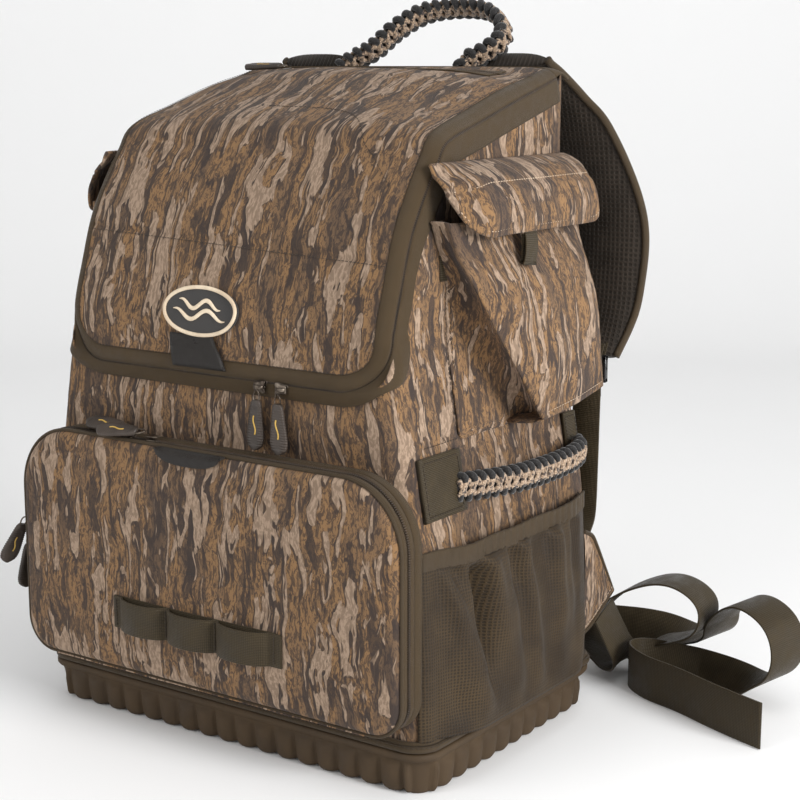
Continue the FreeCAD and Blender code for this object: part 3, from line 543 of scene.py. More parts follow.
# which way the webbing's width points at each point of its route
RIGHT_WEB_LAY = ((0, 1, 0),) * 13
LEFT_WEB_LAY = ((0, 1, 0), (0, 0.6, 0.8)) + ((0, 0, 1),) * 8 + ((0.3, 0.5, 0.8),) + ((0.35, 0.95, 0.1),) * 6 \
    + ((0.1, 0.6, 0.8), (0, 0, 1), (0, 0, 1), (0, 0, 1), (0, 0, 1), (0, 0, 1), (0, 0, 1))
WEB_WIDE = 37.0
WEB_THICK = 1.7


def spline_line(name, route):
    """Points read from the route's own NURBS spline, in millimetres."""
    curve = bpy.data.curves.new(name, "CURVE")
    curve.dimensions = "3D"
    curve.resolution_u = 24
    spline = curve.splines.new("NURBS")
    spline.points.add(len(route) - 1)
    for point, spot in zip(spline.points, route):
        point.co = (*(c * MM for c in spot), 1)
    spline.order_u = 3
    spline.use_endpoint_u = True
    holder = bpy.data.objects.new(name, curve)
    bpy.context.scene.collection.objects.link(holder)
    bpy.context.view_layer.update()
    line = bpy.data.meshes.new_from_object(holder)
    spots = np.array([v.co[:] for v in line.vertices]) / MM
    bpy.data.objects.remove(holder)
    return resample(spots, 2.5)


def web_ribbon(name, route, lay, stands_for):
    """Flat waist webbing on edge along its route."""
    line = spline_line(name + "_line", route)
    run = np.linspace(0, 1, len(line))
    marks = np.linspace(0, 1, len(lay))
    across = unit(np.stack([np.interp(run, marks, np.array(lay, float)[:, k]) for k in range(3)], 1))
    for _ in range(12):
        across[1:-1] = unit(across[1:-1] + 0.5 * (across[:-2] + across[2:]))
    forward = tangents(line)
    across = unit(across - np.sum(across * forward, 1, keepdims=True) * forward)
    spots, faces, cloth = sweep(line, across, slab(WEB_WIDE, WEB_THICK, 0.7))
    spots[:, 2] = np.maximum(spots[:, 2], 0.2)
    obj = raw_mesh(name, spots, faces, cloth)
    finish_piece(obj, "root", "webbing", stands_for, "webbing")


# ---------------------------------------------------------------- the body's sewn shell
LEVELS = ((30, 180), (100, 179), (176, 175), (258, 161.5), (320, 151), (345, 150), (500, 150))
HALF_DEPTH = 121.0
CORNER = 14.0
NOMINAL_HALF_WIDTH = 166
LID_CURVE = np.array(((-122, 283), (-114, 300), (-112, 325), (-103, 355), (-92, 387), (-78, 412), (-60, 437),
                      (-47, 452), (-7, 464), (24, 473), (60, 483), (86, 490), (103, 495)), float)
LID_LINE = curved(LID_CURVE, 2.0)
LID_RUN = np.concatenate(([0], np.cumsum(np.linalg.norm(np.diff(LID_LINE, axis=0), axis=1))))
LID_LONG = LID_RUN[-1]
LID_HALF = 150.0
LID_CORNER = 40.0
TAPE = 18.0
FOOT_TAPE = 10.0
LID_TAPE = 8.5


def half_width(z):
    """Half the width of the sewn body at a height."""
    return np.interp(z, *np.array(LEVELS).T)


def lid_frame(b):
    """Side-view point of the lid's face at a distance up from its foot, and the way into the bag."""
    inside = np.clip(b, 0, LID_LONG)
    y, z = (np.interp(inside, LID_RUN, LID_LINE[:, k]) for k in range(2))
    slope = tangents(LID_LINE)
    sy, sz = (np.interp(inside, LID_RUN, slope[:, k]) for k in range(2))
    blend = ease((np.asarray(b, float) + 4) / 12)
    sy, sz = sy * blend, sz * blend + (1 - blend)
    scale = np.hypot(sy, sz)
    z = z + np.minimum(b, 0)
    return y, z, sz / scale, -sy / scale


def crown(a, b):
    """How far the stuffed lid stands off its frame."""
    tall = np.interp(b, (0, 60, 110, 150, 200, 245, 272, 292, LID_LONG - 24, LID_LONG),
                     (0, 0, 1, 3.5, 8, 14, 17.5, 15, 3, 0.5))
    return tall * np.clip(1 - np.abs(np.asarray(a, float) / LID_HALF) ** 2.3, 0, 1)


def lid_point(a, b, lift=0.0):
    """A point on the lid's face; beyond its edge it wraps down the side, below its foot down the front."""
    a, b = np.broadcast_arrays(np.asarray(a, float), np.asarray(b, float))
    y, z, ny, nz = lid_frame(b)
    half = np.where(b < 45, half_width(z), LID_HALF)
    bend = np.interp(b, (-5, 40), (CORNER, 2.0))
    reach = np.abs(a)
    over = np.clip((reach - (half - bend)) / bend, 0, math.pi / 2)
    past = np.maximum(reach - (half - bend) - bend * math.pi / 2, 0)
    out = np.where(reach < half - bend, reach, half - bend + bend * np.sin(over))
    deep = bend * (1 - np.cos(over)) + past
    top = crown(a, b)
    face_lift, side_lift = lift * np.cos(over), lift * np.sin(over)
    x = np.sign(a) * (out + side_lift)
    return np.stack((x, y + ny * (deep - face_lift - top), z + nz * (deep - face_lift - top)), -1)


TUCK = 9.0
SIDE_EDGE = np.stack(lid_frame(np.linspace(LID_CORNER, LID_LONG, 120)), 1)
SIDE_TOP = np.stack((SIDE_EDGE[:, 0] + TUCK * SIDE_EDGE[:, 2], SIDE_EDGE[:, 1] + TUCK * SIDE_EDGE[:, 3]), 1)


def shell_top(x, y):
    """How high the body's cloth reaches, tucked under the middle of the zipper's fixed half."""
    beyond = np.clip(np.abs(x) - (LID_HALF - LID_CORNER), 0, 44)
    front = 323.0 - np.sqrt(45.0 ** 2 - beyond ** 2)
    side = np.interp(y, SIDE_TOP[:, 0], SIDE_TOP[:, 1])
    side = np.where(y > 100, np.interp(y, (100, 112), (side.max(), 497.0)), side)
    share = ease((y + HALF_DEPTH) / (SIDE_TOP[0, 0] + HALF_DEPTH))
    return np.where(y < SIDE_TOP[0, 0], front * (1 - share) + SIDE_TOP[0, 1] * share, side)


def plan_line(step=3.0):
    """Marks along each straight run of the shell's outline, as shares of its half length."""
    across, along = 2 * (NOMINAL_HALF_WIDTH - CORNER), 2 * (HALF_DEPTH - CORNER)
    return [np.linspace(-1, 1, int(length / step), endpoint=False) for length in (across, along) * 2]


def plan_points(z):
    """Outline points at one height, and which way is out."""
    half = half_width(z)
    wide, deep = half - CORNER, HALF_DEPTH - CORNER
    spots, outs = [], []
    spin = np.array(((0, -1), (1, 0)))
    turn = np.linspace(0, math.pi / 2, 10, endpoint=False)
    for quarter, straight in enumerate(PLAN):
        lengths = (wide, deep) if quarter % 2 == 0 else (deep, wide)
        local = np.stack((straight * lengths[0], np.full(len(straight), -lengths[1] - CORNER)), 1)
        arc = np.stack((lengths[0] + CORNER * np.sin(turn), -lengths[1] - CORNER * np.cos(turn)), 1)
        out = np.vstack((np.tile((0.0, -1.0), (len(straight), 1)),
                         np.stack((np.sin(turn), -np.cos(turn)), 1)))
        turned = np.linalg.matrix_power(spin, quarter)
        spots.append(np.vstack((local, arc)) @ turned.T)
        outs.append(out @ turned.T)
    return np.vstack(spots), np.vstack(outs)


PLAN = plan_line()
SIDE_SEAM = -50.0
WAIST_SEAM = 248.0


def shell_swell(x, y, z, out):
    """How far the cloth stands off its straight walls: slack, seams and stuffing."""
    on_side = np.abs(out[:, 0]) > 0.7
    side_seams = np.where(on_side, hump(y - SIDE_SEAM, 1.6) * (z > WAIST_SEAM) + hump(z - WAIST_SEAM, 1.6)
                          + hump(y + 100, 1.4) * (z > 236), 0)
    lean = (y + z * 0.35)
    slack = ripple(lean + x, z, 95, 1.5, 0.4) + ripple(x + y, z * 1.3, 41, 0.5, 1.9)
    belly = 3.5 * hump(z - 350, 70) * np.where(on_side, 1, 0.3) * np.clip(1 - np.abs(y / 118) ** 4, 0, 1)
    pucker = 0.5 * np.sin(z * TURN / 13.0 + y * 0.2) * hump(y - SIDE_SEAM, 9) * on_side
    front_swell = np.where(out[:, 1] < -0.7,
                           2.5 * hump(z - 256, 16) * np.clip(1 - np.abs(x / 160) ** 4, 0, 1), 0)
    edge = ease((z - 36) / 24)
    return (slack * 0.8 + belly + pucker + front_swell) * edge - 1.5 * side_seams


plan_levels = {}


def plan_at(z, k):
    """One point of the outline at one height, kept so that a height is worked out once."""
    key = round(float(z), 1)
    if key not in plan_levels:
        plan_levels[key] = plan_points(key)
    spots, outs = plan_levels[key]
    return spots[k], outs[k]


def make_body_cloth():
    """One sewn shell from the tub's binding up to the zipper and over the back."""
    foot, _ = plan_points(40.0)
    tops = shell_top(foot[:, 0] * LID_HALF / half_width(40.0), foot[:, 1])
    rows = np.linspace(0, 1, 110)
    girth = np.concatenate(([0], np.cumsum(np.linalg.norm(np.diff(foot, axis=0), axis=1))))
    grid, cloth = [], []
    for share in rows:
        heights = 34 + share * (tops - 34)
        spots = np.empty((len(foot), 3))
        outs = np.empty((len(foot), 2))
        for k, z in enumerate(heights):
            spot, out = plan_at(z, k)
            spots[k] = (*spot, z)
            outs[k] = out
        swell = shell_swell(spots[:, 0], spots[:, 1], heights, outs) * ease((1 - share) * 12)
        spots[:, :2] += outs * swell[:, None]
        grid.append(spots)
        cloth.append(np.stack((girth, heights), 1))
    grid, cloth = np.array(grid), np.array(cloth)
    grid = np.concatenate((grid, grid[:, :1]), 1)
    last = cloth[:, :1].copy()
    last[:, :, 0] = girth[-1] + 3.0
    cloth = np.concatenate((cloth, last), 1)
    grid_piece("body_cloth", grid, cloth, "root", "camo_fabric", skin=1.2, slot="camo_fabric",
               stands_for=("front_wall", "side_panel_left", "side_panel_right", "back_panel"))


def shell_point(x_side, y, z, lift=0.0):
    """A point on a side wall of the body."""
    half = half_width(z)
    out = np.tile((float(x_side), 0.0), (np.size(z), 1)) if np.ndim(z) else np.array(((float(x_side), 0.0),))
    swell = shell_swell(x_side * np.atleast_1d(half), np.atleast_1d(y), np.atleast_1d(z), out)
    return np.stack((x_side * (np.atleast_1d(half) + swell + lift), np.atleast_1d(y) + 0 * swell,
                     np.atleast_1d(z) + 0 * swell), -1)


def make_body_seams():
    """Sunk seams with their thread along both side walls and the front corners."""
    for side, word in ((1, "right"), (-1, "left")):
        heap = Heap()
        tall = np.linspace(WAIST_SEAM + 2, 384, 60)
        for shift in (-3.0, 3.0):
            stitches(heap, shell_point(side, np.full(60, SIDE_SEAM + shift), tall, 0.2),
                     (side, 0, 0), 3.6, 2.2, 0.5, 0.2)
        deep = np.linspace(-96, 104, 60)
        stitches(heap, shell_point(side, deep, np.full(60, WAIST_SEAM - 3.5), 0.2),
                 (side, 0, 0), 3.6, 2.2, 0.5, 0.2)
        heap.piece(f"side_stitching_{word}", "root", "dark_thread")
        band = Heap()
        spots = np.array([(side * (half_width(386 - k) + 3.0 + 0.25 * k ** 0.5), SIDE_SEAM - 5, 386 - k)
                          for k in np.linspace(0, 30, 10)])
        band.put(*sweep(spots, (0, 1, 0), slab(12, 1.6)))
        band.piece(f"pouch_seam_tab_{word}", "root", "webbing", slot="webbing")


# ---------------------------------------------------------------- lid
def lid_inset(a, b):
    """How far inside the zipper's line a place on the lid is."""
    reach = np.abs(a)
    beyond, below = np.maximum(reach - (LID_HALF - LID_CORNER), 0), np.maximum(LID_CORNER - b, 0)
    plain = np.minimum(LID_HALF - reach, b)
    return np.where((beyond > 0) & (below > 0), LID_CORNER - np.hypot(beyond, below), plain)


def lid_puff(a, b):
    """The stuffed lid stands steeply off its zipper."""
    return 7.6 * (1 - np.exp(-np.maximum(lid_inset(a, b), 0) / 4.5)) - 1.2


def coil_path(side, low):
    """A line round the lid in flat lid coordinates, drawn in from the zipper at its sides and foot."""
    half = LID_HALF - side
    wide, tall = LID_CORNER - side, LID_CORNER - low
    centre = (LID_HALF - LID_CORNER, LID_CORNER)
    turn = np.linspace(0, math.pi / 2, 24)
    right = np.stack((centre[0] + wide * np.cos(turn), centre[1] - tall * np.sin(turn)), 1)
    up = np.stack((np.full(80, half), np.linspace(LID_LONG - 1, centre[1], 80, endpoint=False)), 1)
    foot = np.stack((np.linspace(centre[0], -centre[0], 90, endpoint=False)[1:], np.full(89, low)), 1)
    left = right[::-1] * (-1, 1)
    return np.vstack((up, right, foot, left, up[::-1] * (-1, 1)))


def tape_band(name, near, far, lift, body, cloth_shift, puffed, **more):
    """A band of zipper tape between two lines round the lid, gently domed."""
    shares = np.linspace(0, 1, 11)
    run = np.concatenate(([0], np.cumsum(np.linalg.norm(np.diff(coil_path(0, 0), axis=0), axis=1))))
    grid, cloth = [], []
    for share in shares:
        path = coil_path(near[0] + (far[0] - near[0]) * share, near[1] + (far[1] - near[1]) * share)
        rise = lift + 0.6 * math.sin(math.pi * share)
        if puffed:
            rise = rise + lid_puff(path[:, 0], path[:, 1])
        grid.append(lid_point(path[:, 0], path[:, 1], rise))
        cloth.append(np.stack((np.full(len(run), cloth_shift + share * abs(far[0] - near[0])), run), 1))
    return grid_piece(name, grid, cloth, body, "trim_fabric", skin=1.0, slot="trim_fabric", **more)


def across_hinge(obj):
    """Cloth that turns over at the lid's rear edge; its place is only baked into its mesh."""
    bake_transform(obj)


def lid_swell(a, b):
    """How far the lid's cloth stands off its frame besides its crown."""
    slack = ripple(a, b, 120, 1.2, 0.9) + ripple(a * 1.2, b, 47, 0.35, 2.2)
    seam = hump(b - (97 - 6 * a / 150), 1.7)
    inner = np.clip((lid_inset(a, b) - LID_TAPE) / 16, 0, 1)
    return slack * inner - 1.3 * seam + 0.9 + lid_puff(a, b)


def make_lid_cloth():
    """The lid's face, fitting just inside its zipper tape and running on over the yoke."""
    edge = LID_HALF - LID_TAPE
    corner = LID_CORNER - LID_TAPE
    columns = np.linspace(-1, 1, 120)
    rows = np.linspace(0, 1, 150)
    grid, cloth = [], []
    for share in rows:
        above = share * (LID_LONG - LID_TAPE - 1)
        b = LID_TAPE + above
        pull = corner - math.sqrt(max(corner ** 2 - max(corner - above, 0) ** 2, 0))
        a = columns * (edge - pull)
        grid.append(lid_point(a, np.full_like(a, b), lid_swell(a, b)))
        cloth.append(np.stack((a + 900, np.full_like(a, b)), 1))
    lid = grid_piece("lid_cloth", grid, cloth, None, "camo_fabric", skin=1.2, slot="camo_fabric",
                     stands_for=("lid_panel",))
    across_hinge(lid)

    heap = Heap()
    a = np.linspace(-edge + 2, edge - 2, 120)
    b = 97 - 6 * a / 150 - 2.8
    stitches(heap, lid_point(a, b, lid_swell(a, b) + 0.3), (0, -0.9, 0.3), 3.4, 2.2, 0.5, 0.2)
    a, b = curved(((-20, 208), (62, 200), (128, 142)), 3.0).T
    stitches(heap, lid_point(a, b, lid_swell(a, b) + 0.2), (0, -0.6, 0.7), 4.2, 2.6, 0.5, 0.15)
    heap.piece("lid_stitching", "lid", "dark_thread")


def zip_coil(name, line, normal, body, blended=False, width=3.6):
    """A coil of small teeth along a zipper, with the dark line where the halves meet."""
    line = resample(line, 1.7)
    forward = tangents(line)
    normal = unit(np.broadcast_to(np.asarray(normal, float), line.shape)) if np.ndim(normal) == 1 else \
        unit(np.stack([np.interp(np.linspace(0, 1, len(line)), np.linspace(0, 1, len(normal)), normal[:, k])
                       for k in range(3)], 1))
    side = unit(np.cross(forward, normal))
    heap = Heap()
    bar = slab(0.85, 0.8, 0.3, 2)
    for k in range(len(line)):
        ends = np.array((-0.5, -0.25, 0.25, 0.5))
        drop = np.array((-0.7, 0.35, 0.35, -0.7))
        run = line[k] + side[k] * (ends * width)[:, None] + normal[k] * drop[:, None]
        heap.put(*sweep(run, forward[k], bar))
    obj = heap.piece(name, None if blended else body, "zip_teeth")
    if blended:
        across_hinge(obj)
    return obj


def zip_line(side, low, lift, spacing=1.7, puffed=True):
    """Points on the lid along one line round its zipper."""
    path = resample(coil_path(side, low), spacing)
    rise = lift + (lid_puff(path[:, 0], path[:, 1]) if puffed else 0)
    return lid_point(path[:, 0], path[:, 1], rise)


def make_lid_zipper():
    """Both halves of the lid's zipper tape, its teeth and the thread along it."""
    tape_band("lid_tape_fixed", (-0.6, -0.6), (-TAPE, -FOOT_TAPE), 0.3, "root", 0, False,
              stands_for=("body_zipper_tape",), flip=True)
    moving = tape_band("lid_tape_moving", (0.6, 0.6), (LID_TAPE + 1.5, LID_TAPE + 1.5), 0.2, None, 30, True,
                       stands_for=("lid_zipper_tape",))
    across_hinge(moving)
    line = zip_line(0.0, 0.0, 1.6)
    zip_coil("lid_zip_teeth", line, zip_line(0.0, 0.0, 3.6) - line, "lid", blended=True)
    heap = Heap()
    stitches(heap, zip_line(LID_TAPE + 1.6, LID_TAPE + 1.6, 1.9, 3.0)[3:-3],
             (0, -0.7, 0.7), 3.2, 2.1, 0.5, 0.25)
    heap.piece("lid_edge_stitching", "lid", "dark_thread")
    heap = Heap()
    stitches(heap, zip_line(-TAPE + 3, -FOOT_TAPE + 2, 1.0, 3.0, False)[3:-3],
             (0.7, -0.7, 0.2), 3.2, 2.1, 0.5, 0.25)
    heap.piece("body_tape_stitching", "root", "dark_thread")


BADGE_CENTRE = (-16.0, 46.0)
BADGE_HALF = (36.0, 17.0)


def badge_ring(share, lift):
    """An oval on the lid, as a share of the badge's own outline."""
    turn = np.linspace(0, TURN, 72, endpoint=False)
    a = BADGE_CENTRE[0] + BADGE_HALF[0] * share * np.cos(turn)
    b = BADGE_CENTRE[1] + BADGE_HALF[1] * share * np.sin(turn)
    return lid_point(a, b, lid_swell(a, b) + lift)


def make_badge():
    """Oval patch with a thick pale border and two plain woven waves."""
    rings = [(1.0, 0.2), (1.0, 1.8), (0.985, 2.3), (0.86, 2.2), (0.6, 2.2), (0.3, 2.2), (0.02, 2.2)]
    spots = np.array([badge_ring(*ring) for ring in rings])
    faces = grid_faces(len(rings), 72, round_columns=True)
    patch = raw_mesh("lid_badge_patch", spots.reshape(-1, 3), faces)
    finish_piece(patch, "lid", "badge", ("lid_badge",), "badge")
    heap = Heap()
    border = badge_ring(0.945, 2.6)
    tube(heap, border, (0, -0.9, 0.3), 2.2, 3.0, closed=True)
    for shift, long in ((4.0, 20.0), (-2.8, 25.0)):
        t = np.linspace(-1, 1, 40)
        a = BADGE_CENTRE[0] + long * t
        b = BADGE_CENTRE[1] + shift + 3.0 * np.sin(t * 5.2)
        wide = 3.4 * np.sqrt(np.clip(1 - t ** 2, 0.02, 1))
        line = lid_point(a, b, lid_swell(a, b) + 2.6)
        heap.put(*sweep(line, (0, -0.95, 0.3),
                        oval(1, 1, 8)[None] * np.stack((np.full(40, 1.4), wide), 1)[:, None]))
    heap.piece("lid_badge_thread", "lid", "badge_thread")


def flat_on_lid(name, foot, head, b, lift, thick, material, stands_for, slot, bow=0.0):
    """A small tab laid on the lid's face: its foot and head run across, and bow lifts its middle."""
    shares = np.linspace(0, 1, 14)
    grid, cloth = [], []
    for i in shares:
        bb = b[0] + (b[1] - b[0]) * i
        ends = [foot[k] * (1 - i) + head[k] * i for k in range(2)]
        aa = ends[0] + (ends[1] - ends[0]) * shares
        rise = lift + bow * math.sin(math.pi * i)
        grid.append(lid_point(aa, np.full_like(aa, bb), lid_swell(aa, np.full_like(aa, bb)) + rise))
        cloth.append(np.stack((aa, np.full_like(aa, bb)), 1))
    return grid_piece(name, grid, cloth, "lid", material, skin=thick, stands_for=stands_for, slot=slot)


def make_lid_trim():
    """Grab tab at the foot of the lid, and the flat pocket's zipper across its top."""
    flat_on_lid("lid_tab", (-38, 12), (-44, -3), (3, 30), 2.6, 1.6, "black_webbing", ("lid_grab_tab",),
                "black_webbing", 1.8)
    flat_on_lid("lid_pocket_band_front", (-104, 118), (-104, 118), (303, 313.5), 1.2, 1.0, "trim_fabric",
                ("lid_pocket_tape",), "trim_fabric", 0.8)
    flat_on_lid("lid_pocket_band_rear", (-104, 118), (-104, 118), (316.5, 327), 1.2, 1.0, "trim_fabric", (),
                "trim_fabric", 0.8)
    a = np.linspace(-102, 116, 80)
    line = lid_point(a, np.full(80, 315.0), lid_swell(a, 315.0) + 1.4)
    zip_coil("lid_pocket_teeth", line, (0, -0.25, 1), "lid", width=3.2)


def make_yoke():
    """Bound strip between the lid's rear edge and the back."""
    a = np.linspace(-150, 150, 90)
    grid, cloth = [], []
    for share in np.linspace(0, 1, 12):
        rear = lid_point(a, np.full_like(a, LID_LONG), 1.6 + lid_puff(a, LID_LONG))
        back = np.stack((a, np.full_like(a, 122.5), 494 + 0 * a), 1)
        y = rear[:, 1] * (1 - share) + back[:, 1] * share
        z = rear[:, 2] * (1 - share) ** 1.5 + back[:, 2] * (1 - (1 - share) ** 1.5)
        z = z + 4 * math.sin(math.pi * share)
        grid.append(np.stack((a, y, z), 1))
        cloth.append(np.stack((np.full_like(a, share * 22), a), 1))
    grid_piece("yoke_strip", grid, cloth, "root", "trim_fabric", skin=1.6, stands_for=("top_yoke",),
               slot="trim_fabric")


# ---------------------------------------------------------------- moulded tub
FLUTE_PITCH = 19.2
TUB_PROFILE = ((0.0, -4.0), (0.2, -2.6), (1.0, -1.5), (2.4, -1.0), (4.4, -0.7), (7.0, -0.4), (10.0, 0.0),
               (13.0, 0.4), (16.0, 0.8), (19.0, 1.3), (21.5, 1.9), (23.5, 2.6), (25.2, 3.8), (26.6, 5.9),
               (28.0, 6.9), (31.0, 6.9), (32.0, 6.0), (32.2, 2.4))


def tub_outline(spacing=1.3):
    """The tub's foot outline with which way is out."""
    wide, front, back, corner = 179.0, -117.5, 109.0, 13.0
    turn = np.linspace(0, math.pi / 2, 20)
    spots = []
    for sx, y, start in ((1, back, 0), (-1, back, 90), (-1, front, 180), (1, front, 270)):
        centre = np.array((sx * (wide - corner), y - math.copysign(corner, y)))
        angle = turn + math.radians(start)
        spots.append(centre + corner * np.stack((np.cos(angle), np.sin(angle)), 1))
    line = resample(np.vstack(spots), spacing, closed=True)
    forward = tangents(line, closed=True)
    return line, np.stack((forward[:, 1], -forward[:, 0]), 1)


def ring_line(wide, deep, corner, spacing=3.0):
    """A rounded rectangle as a closed line."""
    turn = np.linspace(0, math.pi / 2, 12)
    spots = []
    for sx, sy, start in ((1, 1, 0), (-1, 1, 90), (-1, -1, 180), (1, -1, 270)):
        centre = np.array((sx * (wide - corner), sy * (deep - corner)))
        angle = turn + math.radians(start)
        spots.append(centre + corner * np.stack((np.cos(angle), np.sin(angle)), 1))
    return resample(np.vstack(spots), spacing, closed=True)


def make_tub():
    """Fluted tub: half-round ribs that swell at the foot and die out under the lip."""
    line, out = tub_outline()
    run = np.arange(len(line)) * 1.3
    straight = np.where(np.abs(out[:, 1]) > 0.7, line[:, 0], line[:, 1] + 4)
    wave = np.abs(np.cos(straight * math.pi / FLUTE_PITCH
                         + np.where(np.abs(out[:, 1]) > 0.7, 0, math.pi / 2)))
    bend = np.abs(out[:, 0] * out[:, 1]) * 2
    ribs = np.sqrt(wave) * (1 - ease((bend - 0.15) / 0.4))
    grid, cloth = [], []
    for z, push in TUB_PROFILE:
        rib = 5.6 * ribs * np.interp(z, (0, 1, 4.4, 16, 21.5, 25.2), (0.35, 0.7, 1, 1, 0.72, 0.0))
        lip = np.interp(z, (24.5, 27), (0, 1))
        reach = push + rib
        spot = line + out * reach[:, None]
        spot[:, 1] += lip * np.clip(out[:, 1], 0, 1) * 10
        scallop = 3.2 * (1 - ribs) * np.interp(z, (0, 9), (1, 0)) * (1 - ease((bend - 0.15) / 0.4))
        grid.append(np.column_stack((spot, z + scallop * (z < 9))))
        cloth.append(np.stack((run, np.full(len(line), z)), 1))
    rows = len(grid)
    spots = np.array(grid).reshape(-1, 3)
    faces = [f[::-1] for f in grid_faces(rows, len(line), round_columns=True)]
    faces.append(tuple(range(len(line))))
    tub = raw_mesh("tub_shell", spots, faces, np.array(cloth).reshape(-1, 2))
    finish_piece(tub, "root", "tub_rubber", ("base_tub",), "tub_rubber", skin=0)
    line = ring_line(184.0, 124.0, 19.0)
    heap = Heap()
    for z, wide, tall in ((35.6, 4.2, 5.2), (39.4, 3.6, 3.4)):
        shrink = (z - 35.6) * 0.35
        path = np.column_stack((line * (1 - shrink / 150), np.full(len(line), z)))
        heap.put(*sweep(path, (0, 0, 1), oval(tall, wide, 10), closed=True))
    heap.piece("base_binding_roll", "root", "binding", stands_for=("base_binding",), slot="trim_fabric")
    thread = Heap()
    path = np.column_stack((line, np.full(len(line), 37.6)))
    outward = np.column_stack((unit(line), np.zeros(len(line))))
    stitches(thread, path + outward * 2.0, (0, -1, 0.2), 3.6, 2.3, 0.5, 0.2)
    thread.piece("base_binding_stitching", "root", "dark_thread")


# ---------------------------------------------------------------- front pocket
POCKET = {"half": 180.0, "low": 50.0, "high": 230.0, "top": 50.0, "foot": 25.0}


def pocket_outline(inset=0.0, spacing=2.5):
    """The front pocket's outline as (x, z), drawn in."""
    spots = []
    half, low, high = POCKET["half"] - inset, POCKET["low"] + inset, POCKET["high"] - inset
    for sx, z, corner, start in ((1, high, POCKET["top"], 0), (-1, high, POCKET["top"], 90),
                                 (-1, low, POCKET["foot"], 180), (1, low, POCKET["foot"], 270)):
        radius = max(corner - inset, 2.0)
        up = -1 if z == high else 1
        centre = np.array((sx * (half - radius), z + up * radius))
        angle = np.linspace(0, math.pi / 2, 16) + math.radians(start)
        spots.append(centre + radius * np.stack((np.cos(angle), np.sin(angle)), 1))
    return resample(np.vstack(spots), spacing, closed=True)


def pocket_band(name, near, far, body, dome, stands_for=(), inset=0.0):
    """A band of tape round the pocket's rim between two depths."""
    line = pocket_outline(inset)
    forward = tangents(line, closed=True)
    out = np.stack((forward[:, 1], -forward[:, 0]), 1)
    run = np.arange(len(line)) * 2.5
    grid, cloth = [], []
    for share in np.linspace(0, 1, 8):
        rise = dome * math.sin(math.pi * share)
        spot = line + out * rise
        grid.append(np.stack((spot[:, 0], np.full(len(line), -(near + (far - near) * share)), spot[:, 1]), 1))
        cloth.append(np.stack((np.full(len(line), share * (far - near)), run), 1))
    grid = np.array(grid)
    faces = grid_faces(8, len(line), round_columns=True)
    obj = raw_mesh(name, grid.reshape(-1, 3), faces, np.array(cloth).reshape(-1, 2))
    return finish_piece(obj, body, "trim_fabric", stands_for, "trim_fabric", skin=1.2)


def panel_face(x, z):
    """How far forward the puffed panel stands at a place on its face."""
    wide = np.clip(1 - (np.abs(x) / 182) ** 4, 0, 1)
    tall = np.clip(1 - (np.abs(z - 140) / 92) ** 4, 0, 1)
    slack = ripple(x, z, 130, 1.0, 1.3) + ripple(x, z, 52, 0.4, 0.2)
    return 149.5 + 4.5 * wide * tall + slack * np.sqrt(wide * tall)


def make_pocket_panel():
    """Stuffed front panel: it rolls over its rim and crowns gently between its corners."""
    base = pocket_outline(0.0)
    rolls = [(0.0, 138.2), (-0.5, 141.0), (0.2, 144.0), (1.6, 146.6), (4.0, 148.4), (7.0, 149.4)]
    spots, cloth = [], []
    for inset, depth in rolls:
        line = base if inset <= 0 else inset_line(base, inset)
        spots.append(np.stack((line[:, 0] * (1 - min(inset, 0) / 180), np.full(len(line), -depth),
                               line[:, 1]), 1))
    inner = inset_line(base, 7.0)
    spine = np.stack((np.clip(inner[:, 0], -92, 92), np.full(len(inner), 140.0)), 1)
    for share in np.linspace(0, 1, 30)[1:]:
        line = inner * (1 - share) + spine * share
        depth = panel_face(line[:, 0], line[:, 1])
        mix = ease(share * 5)
        spots.append(np.stack((line[:, 0], -(149.4 * (1 - mix) + depth * mix), line[:, 1]), 1))
    spots = np.array(spots)
    cloth = spots[:, :, (0, 2)].copy() + (2000, 37)
    faces = grid_faces(len(spots), spots.shape[1], round_columns=True)
    panel = raw_mesh("pocket_panel_cloth", spots.reshape(-1, 3), faces, cloth.reshape(-1, 2))
    finish_piece(panel, "front_pocket", "camo_fabric", ("pocket_panel",), "camo_fabric", skin=1.2)


def inset_line(line, inset):
    """A closed outline drawn in by a distance."""
    forward = tangents(line, closed=True)
    return line - np.stack((forward[:, 1], -forward[:, 0]), 1) * inset


